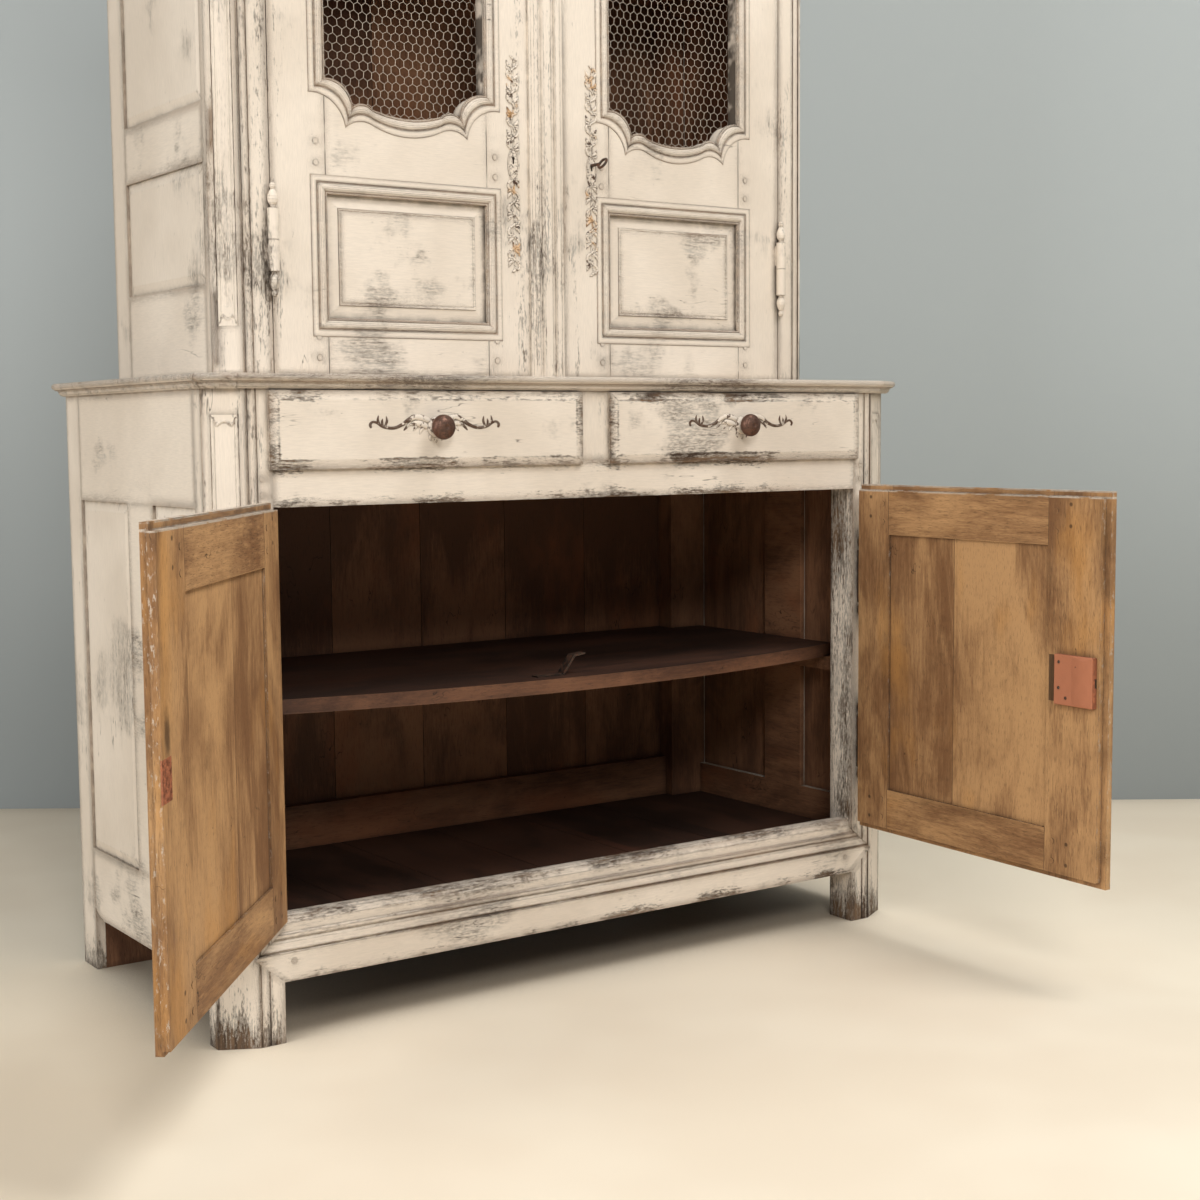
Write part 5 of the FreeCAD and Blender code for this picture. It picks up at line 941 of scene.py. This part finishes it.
def post_panel(name, side, outer, y_front, cant_wide, cant_deep, low, high, flute):
    """Heights over the canted face: a bead near the edge, a field, and a hollow where the flute runs."""
    reach = math.hypot(cant_wide, cant_deep)
    start = np.array([side * (outer - cant_wide), y_front])
    way = np.array([side * cant_wide, cant_deep]) / reach
    out = np.array([side * cant_deep, -cant_wide]) / reach
    first, last = PANEL_SHARE[0] * reach + PANEL_GAP_M, PANEL_SHARE[1] * reach - PANEL_GAP_M
    rows = stations(low, high, POST_ENDS, 0.05, 30)
    s, z = np.meshgrid(POST_SHARES, rows)
    x = (s - 0.5) * (last - first)
    bracket = BRACKET_M * (1 - np.cos(s * 4 * math.pi)) + PEAK_M * np.exp(-((s - 0.5) / PEAK_SHARE) ** 2)
    edge = np.minimum((last - first) / 2 - np.abs(x), np.minimum(z - low, high - z) - bracket)
    height = np.where(edge < RIM_END_M, RIM_LEVEL, np.where(edge > GROOVE_END_M, FIELD_LEVEL, GROOVE_LEVEL))
    height = height + BEAD_HIGH_M * hump(edge, BEAD_AT_M, BEAD_HALF_M)
    if flute:
        run = np.maximum(np.maximum(low + FLUTE_STOP_M - z, z - (high - FLUTE_STOP_M)), 0)
        height = height - FLUTE_DEEP_M * hump(np.hypot(x, run), 0, FLUTE_HALF_M)
    # each row is closed behind the panel by two points near the bottom of the recess
    points = np.empty((len(rows), s.shape[1] + 2, 3))
    points[:, :-2, :2] = start + way * (first + s * (last - first))[..., None] + out * height[..., None]
    points[:, -2:, :2] = [start + way * at - out * RECESS_M * 0.98 for at in (last, first)]
    points[..., 2] = rows[:, None]
    faces = tube(*points.shape[:2])
    new_piece(name, points, faces if side > 0 else [face[::-1] for face in faces], "base", paint_post)


for word, side in (("left", -1), ("right", 1)):
    post_panel(f"base_{word}_post_panel", side, 0.661, -0.2975, 0.055, 0.030, 0.190, 0.928, False)
    post_panel(f"upper_{word}_post_panel", side, 0.583, UPPER_FACE, 0.036, 0.036, 1.060, 2.100, True)
print("post panels: 4")

# %% [markdown]
# ## Top board
# The board over the drawers has a worn round nose over a small cove, with clipped corners over the canted posts. Two
# flat layers stand for it in the CAD model. Here one profile is carried round the outline; at each corner it is moved
# in along the mitre, so that it keeps its width on both sides.

# %% Top board
# (inset from the outline, height), from the underside to the top
NOSE = np.array([
    (0.0140, 0.9640), (0.0125, 0.9655), (0.0105, 0.9668), (0.0093, 0.9690), (0.0088, 0.9715), (0.0075, 0.9732),
    (0.0045, 0.9738), (0.0040, 0.9748), (0.0022, 0.9760), (0.0006, 0.9778), (0.0000, 0.9800), (0.0004, 0.9824),
    (0.0018, 0.9845), (0.0040, 0.9857), (0.0075, 0.9860),
])
OUTLINE = np.array([(-0.624, -0.3155), (0.624, -0.3155), (0.679, -0.2855), (0.679, 0.3155), (-0.679, 0.3155),
                    (-0.679, -0.2855)])


def mitred(outline, inset):
    """Corners of a closed outline moved in: each goes along the sum of its sides' inward normals, divided by one plus
    their dot product, which keeps the distance to both sides."""
    step = np.roll(outline, -1, 0) - outline
    step /= np.linalg.norm(step, axis=1, keepdims=True)
    inward = np.stack([-step[:, 1], step[:, 0]], 1)
    before = np.roll(inward, 1, 0)
    move = (before + inward) / (1 + (before * inward).sum(1, keepdims=True))
    return outline + move * inset[:, None, None]


ring = mitred(OUTLINE, NOSE[:, 0])
points = np.concatenate([ring, np.broadcast_to(NOSE[:, 1, None, None], ring.shape[:2] + (1,))], 2)
faces = tube(*ring.shape[:2], turned=True)
new_piece("top_board", points, faces, "base", paint_top, "base_top_board")
print("top board:", len(faces), "faces")

# %% [markdown]
# ## Cast branches
# The drawer pulls and the long escutcheons are cast scrolls. A relief picture would give no shadow at their edges, so
# each scroll is a branch: a smooth line on the plate, with rings around it that swell and taper like a leaf stem and
# close to a point at both ends. One function makes a branch, and a list of drawn lines makes the ornament.

# %% Branch tools


def smooth(spots, count):
    """Catmull-Rom line through the spots: between two of them a cubic that leaves each along its neighbours' chord."""
    p = np.concatenate([[2 * spots[0] - spots[1]], spots, [2 * spots[-1] - spots[-2]]])
    t = np.linspace(0, len(p) - 3 - 1e-9, count)
    k = t.astype(int)
    f = (t - k)[:, None]
    a, b, c, d = p[k], p[k + 1], p[k + 2], p[k + 3]
    return 0.5 * (2 * b + (c - a) * f + (2 * a - 5 * b + 4 * c - d) * f ** 2 + (3 * b - a - 3 * c + d) * f ** 3)


def branch(spots, thick, flat=0.7, lift=0.0, sides=8, count=None):
    """A tapering stem in local millimetres: x right, z up, and its height towards the front as -y."""
    line = smooth(np.column_stack([spots, thick]).astype(float), count or 6 * len(spots))
    line, radius = line[:, :2], np.maximum(line[:, 2], 0.3)
    radius[[0, -1]] = 0.02
    along = np.gradient(line, axis=0)
    along /= np.linalg.norm(along, axis=1, keepdims=True)
    turn = np.linspace(0, 2 * math.pi, sides, endpoint=False)
    x = line[:, 0, None] + along[:, 1, None] * radius[:, None] * np.cos(turn)
    z = line[:, 1, None] - along[:, 0, None] * radius[:, None] * np.cos(turn)
    y = -lift - radius[:, None] * flat * np.sin(turn)
    return np.stack([x, y, z], -1).reshape(-1, 3), tube(len(line), sides)


def revolve(outline, count=40):
    """A turned knob: the outline's (radius, distance to the front) is turned about the front direction."""
    radius, out = np.asarray(outline, float).T[:, :, None]
    turn = np.linspace(0, 2 * math.pi, count, endpoint=False)
    rings = np.broadcast_arrays(radius * np.cos(turn), -out, radius * np.sin(turn))
    return np.stack(rings, -1).reshape(-1, 3), tube(len(outline), count, turned=True)


def gather(parts):
    """Join (points, faces) parts into one, shifting each part's face numbers."""
    points, faces, shift = [], [], 0
    for part_points, part_faces in parts:
        points.append(part_points)
        faces += [[index + shift for index in face] for face in part_faces]
        shift += len(part_points)
    return np.concatenate(points), faces


print("branch tools ready")

# %% [markdown]
# ## Lock plate
# The lock of the right lower door sits on its inner face under a sheet of coppery iron. One side lies flat and is
# nailed down, the other bulges over the works. Both are one height over the plate, and each nail is a small turned
# dome that sits in a dimple of its own.

# %% Lock plate
NAILS = np.array([(0.505, 0.533), (0.505, 0.492), (0.541, 0.528), (0.520, 0.477), (0.546, 0.474)])
NAIL_MM = [(2.6, -0.6), (2.5, 0.3), (1.9, 1.0), (0.9, 1.4), (0.05, 1.5)]
PLATE_LOW, PLATE_HIGH = (0.4950, 0.4655), (0.5737, 0.5447)
CASE_FACE = -0.2775
BULGE_START, BULGE_WIDE, BULGE_M = 0.532, 0.0405, 0.0024
PLATE_RISE_M, PLATE_EDGE_M, PLATE_FLAT_M = 0.0013, 0.0016, 0.006
DIMPLE_M, DIMPLE_REACH_M, DENT_M = 0.0005, 0.005, 0.00025
PLATE_BASE, NAIL_BASE = -0.0085, 0.0012


def plate_height(reach, z):
    """Rolled edges, a shallow bulge over the works, and a dimple round each nail."""
    edge = to_edge(reach, z, PLATE_LOW, PLATE_HIGH)
    inner = np.clip(edge / PLATE_FLAT_M, 0, 1)
    bulge = BULGE_M * np.clip(np.sin((reach - BULGE_START) / BULGE_WIDE * math.pi), 0, 1) * inner ** 0.5
    far = np.hypot(reach[..., None] - NAILS[:, 0], z[..., None] - NAILS[:, 1])
    dimple = DIMPLE_M * np.exp(-(far / DIMPLE_REACH_M) ** 2).max(-1)
    dent = DENT_M * np.sin(reach * 210 + 2) * np.sin(z * 170)
    return PLATE_RISE_M * shoulder(edge, PLATE_EDGE_M) + bulge * (reach > BULGE_START) - dimple + dent * inner


open_right = swung(1)
relief("lower_lock_plate", *(np.linspace(*ends, 97) for ends in zip(PLATE_LOW, PLATE_HIGH)), plate_height, PLATE_BASE,
       lambda r, z, h: open_right(np.stack([AXIS_X - r, CASE_FACE + h, z], -1)), "lower_right_door", "rusty_iron",
       coppery)
dome, dome_faces = revolve(NAIL_MM, 12)
points, faces = gather([(np.array([AXIS_X - reach, CASE_FACE + NAIL_BASE, z]) - dome * [1, 1, -1] / 1000, dome_faces)
                        for reach, z in NAILS])
new_piece("lower_lock_nails", open_right(points), faces, "lower_right_door", iron)
print("lock plate and", len(NAILS), "nails")

# %% [markdown]
# ## Drawer pulls
# A domed bronze knob with a few turned rings stands on a cast plate. To each side the plate runs out in a wing that
# thins to a stem, dips, carries a tuft of three leaves and ends in a little curl. The plate still has most of the
# cream paint on its wings.

# %% Pulls
KNOB_MM = [(7.5, 0), (7.5, 1.5), (6.0, 3), (5.2, 6), (5.4, 9), (7.5, 12), (11.5, 14), (15.2, 15.6), (17.6, 18),
           (18.8, 21), (19.0, 24), (18.2, 27.2), (16.4, 29.8), (14.6, 31.2), (13.6, 31.3), (13.0, 31.9), (11.0, 33.0),
           (8.0, 34.0), (5.0, 34.6), (3.4, 34.7), (2.8, 34.0), (0.05, 33.8)]
SCALLOP_MM = [(15.5, 0.0), (15.8, 1.2), (14.6, 2.2), (12.6, 2.2), (11.8, 3.2), (9.0, 3.6), (0.05, 3.6)]
# the stem and the leaves of one wing: spots, and the thickness at each
WING = [
    ([(9, 8), (22, 13), (36, 15), (48, 10), (58, 4), (73, -1), (90, 1), (101, 7), (108, 8), (112, 4), (110, -1)],
     [4.0, 5.0, 4.6, 3.6, 2.8, 2.3, 2.3, 1.9, 1.8, 2.4, 1.8]),
    ([(14, 0), (24, 4), (36, 6), (46, 3)], [4.0, 5.5, 4.5, 1.0]), ([(30, 6), (36, -1), (40, -6)], [2.8, 2.4, 0.8]),
    ([(46, 5), (52, -1), (56, -5)], [2.4, 2.0, 0.8]), ([(20, 2), (26, -5), (29, -11)], [3.0, 2.6, 0.8]),
    ([(88, 1), (84, 9), (85, 17)], [1.6, 2.2, 0.6]), ([(91, 2), (92, 8), (91, 13)], [1.6, 2.0, 0.6]),
    ([(95, 3), (99, 10), (98, 18)], [1.6, 2.2, 0.6]), ([(6, -10), (11, -15), (9, -21)], [3.0, 2.6, 0.8]),
    ([(0, -12), (1, -18), (0, -24)], [3.0, 2.4, 0.8]),
]
PULL_X, PULL_Z, PULL_FACE = 0.2995, 0.9075, -0.3068
wings = [branch([(way * x, z) for x, z in spots], thick, 0.55) for way in (1, -1) for spots, thick in WING]
plate_points, plate_faces = gather(wings + [revolve(SCALLOP_MM, 36)])
knob_points, knob_faces = revolve(KNOB_MM, 56)
for word, side in (("left", -1), ("right", 1)):
    middle = np.array([side * PULL_X, PULL_FACE, PULL_Z])
    new_piece(f"{word}_pull_plate", plate_points / 1000 + middle, plate_faces, f"{word}_drawer",
              plate_finish).data.shade_smooth()
    new_piece(f"{word}_pull_knob", knob_points / 1000 + middle, knob_faces, f"{word}_drawer", bronze,
              f"{word}_drawer_pull").data.shade_smooth()
print("pulls: 2, with", len(plate_faces), "faces on each plate")

# %% [markdown]
# ## Escutcheons
# A long narrow cast strip lies on each upper door: leafy S-scrolls above and below a plain shield for the keyhole.
# They were painted with the door, and rust has come through. One scroll is drawn, and the rest are the same line,
# shifted along and flipped from side to side.

# %% Escutcheons
# a scroll, a bud, a sprig and a leaflet
SCROLLS = [
    ([(0, 0), (6.5, 4), (9.5, 10), (7.5, 15), (3.5, 15.5), (2.5, 12), (5, 11)], [1.9, 2.4, 2.4, 2.2, 1.8, 1.6, 1.4]),
    ([(-1, 2), (-7, 6), (-10.5, 13)], [1.8, 2.9, 0.7]), ([(3, 14), (0, 18), (-5, 21)], [1.6, 2.4, 0.7]),
    ([(-2, 1), (-8, 0), (-11, 4)], [1.5, 2.3, 0.6]),
]
SHIELD_MM = 24.0
SCROLL_STEP_MM, SCROLL_COUNT, SCROLL_WIDEN = 18.4, 8, 1.08
STEM_STEP_MM, STEM_SWAY_MM = 12.0, 1.6
OVAL_MM = (9.2, SHIELD_MM + 1)
KEYHOLE_UP_M = 0.010
ESCUTCHEON_Z = 1.333

parts = []
for way in (1, -1):
    for order in range(SCROLL_COUNT):
        side, base = 1 if order % 2 else -1, SHIELD_MM + order * SCROLL_STEP_MM
        for spots, thick in SCROLLS:
            parts.append(branch([(x * side * SCROLL_WIDEN, (z + base) * way) for x, z in spots], thick, 0.8, 0.4))
    stem = [(math.sin(k * 1.3) * STEM_SWAY_MM, (SHIELD_MM - 4 + k * STEM_STEP_MM) * way) for k in range(13)]
    parts.append(branch(stem, [1.7] * 12 + [0.8], 0.7, 0.2))
rim = [(OVAL_MM[0] * math.cos(a), OVAL_MM[1] * math.sin(a)) for a in np.linspace(0, 2 * math.pi, 25)]
parts.append(branch(rim, [1.3] * 25, 0.9, 0.6, count=100))
share, out = np.array([(1.0, -0.2), (1.0, 0.9), (0.85, 1.1), (0.0001, 1.1)]).T[:, :, None]
a = np.linspace(0, 2 * math.pi, 32, endpoint=False)
shield = np.broadcast_arrays(share * OVAL_MM[0] * np.cos(a), -out, share * OVAL_MM[1] * np.sin(a))
shield_faces = grid_faces(4, 32, loop_columns=True)[:, ::-1].tolist() + [list(range(32))]
cast, cast_faces = gather(parts + [(np.stack(shield, -1).reshape(-1, 3), shield_faces)])
# the keyhole is not cut: a dark disc and slot on the shield are painted shade for the hole
hole, hole_faces = gather([revolve([(0.05, 1.3), (2.6, 1.3), (2.6, 1.5), (0.05, 1.5)], 20),
                           branch([(0, 0), (0, -5), (0, -9)], [1.7, 1.5, 1.6], 0.1, 1.3)])
for word, middle_x in (("left", -0.067), ("right", 0.0884)):
    middle = np.array([middle_x, UPPER_FACE, ESCUTCHEON_Z])
    new_piece(f"{word}_escutcheon", cast / 1000 + middle, cast_faces, f"upper_{word}_door", escutcheon_finish,
              f"upper_{word}_escutcheon").data.shade_smooth()
    new_piece(f"{word}_keyhole", hole / 1000 + middle + [0, 0, KEYHOLE_UP_M], hole_faces, f"upper_{word}_door",
              keyhole_shade)
print("escutcheons: 2, with", len(cast_faces), "faces each")

# %% [markdown]
# ## Studio
# A pale floor, a plain grey wall behind the cupboard, and three large soft lamps: from the front left, from the left
# and from above the front. Shade is painted into the floor's colour, as a shadow close under the cupboard and a darker
# tone towards the far left, and into the wall's towards its foot, because the lamps alone leave both too light. The
# wall is seen from one side only, so that the cupboard can also be looked at from behind.

# %% Floor, wall and lamps
WALL_DISTANCE, WALL_HALF, WALL_HIGH = 4.37, 6.0, 5.0
FLOOR_HALF = 9.0


def lamp(name, place, target, size, power, colour):
    light = bpy.data.lights.new(name, "AREA")
    light.shape, light.size, light.energy, light.color = "SQUARE", size, power, colour
    holder = bpy.data.objects.new(name, light)
    holder.location = place
    holder.rotation_euler = (Vector(target) - Vector(place)).to_track_quat("-Z", "Y").to_euler()
    bpy.context.scene.collection.objects.link(holder)


floor = Finish("studio_floor")
cloudy = floor.place.noise(1.4, 3.0).band(0.35, 0.65)
pale = cloudy.mix(seen(245, 231, 209), seen(252, 240, 219))
# painted shade: the floor darkens towards the far left
pale = floor.place.split()[0].band(-1.7, -0.7, 1.0, 0.0).mix(pale, seen(222, 206, 182))
# painted shadow: the floor's colour darkens where the cupboard closes it in from above
shadow_under = floor.add("AmbientOcclusion", {"Distance": 0.3}, "AO", samples=8).band(0.1, 0.7, 0.75, 0.0)
floor.link(shadow_under.mix(pale, seen(112, 98, 80)), floor.shader["Base Color"])
floor.shader["Roughness"].default_value = 0.55
floor.shader["Specular IOR Level"].default_value = 0.2
corners = [(x * FLOOR_HALF, y * FLOOR_HALF, 0) for x, y in ((-1, -1), (1, -1), (1, 1), (-1, 1))]
mesh_object("studio_floor", corners, [range(4)], floor.material)

wall = Finish("studio_wall")
# painted shade: the wall darkens towards its foot
shade_to_foot = wall.place.split()[2].band(-0.1, 1.3)
wall.link(shade_to_foot.mix(seen(150, 156, 157), seen(178, 185, 186)), wall.shader["Base Color"])
wall.shader["Roughness"].default_value = 1.0
plain = Value(wall, wall.tree.nodes["Principled BSDF"].outputs[0])
behind, clear = wall.add("NewGeometry", out="Backfacing"), wall.add("BsdfTransparent")
both = wall.add("MixShader", {0: behind, 1: plain, 2: clear})
wall.link(both, wall.tree.nodes["Material Output"].inputs[0])
foot = Vector((EYE.x, EYE.y, 0)) + Vector((math.sin(YAW), math.cos(YAW), 0)) * WALL_DISTANCE
wide, high = level * WALL_HALF, Vector((0, 0, WALL_HIGH))
corners = [foot - wide, foot + wide, foot + wide + high, foot - wide + high]
mesh_object("studio_wall", corners, [range(4)], wall.material)

lamp("key_lamp", (-2.1, -4.5, 3.3), (0, 0, 0.9), 1.3, 102.0, (1.0, 0.98, 0.95))
lamp("left_lamp", (-4.6, -1.0, 2.0), (-0.4, 0, 0.8), 2.4, 95.0, (1.0, 0.99, 0.97))
lamp("top_lamp", (0.9, -2.3, 4.2), (0.5, -1.7, 0), 1.8, 106.0, (1.0, 0.99, 0.97))
world = bpy.data.worlds.new("studio")
world.use_nodes = True
sky = world.node_tree.nodes["Background"].inputs
sky["Color"].default_value, sky["Strength"].default_value = seen(205, 208, 210), 0.27
bpy.context.scene.world = world
print("studio ready")
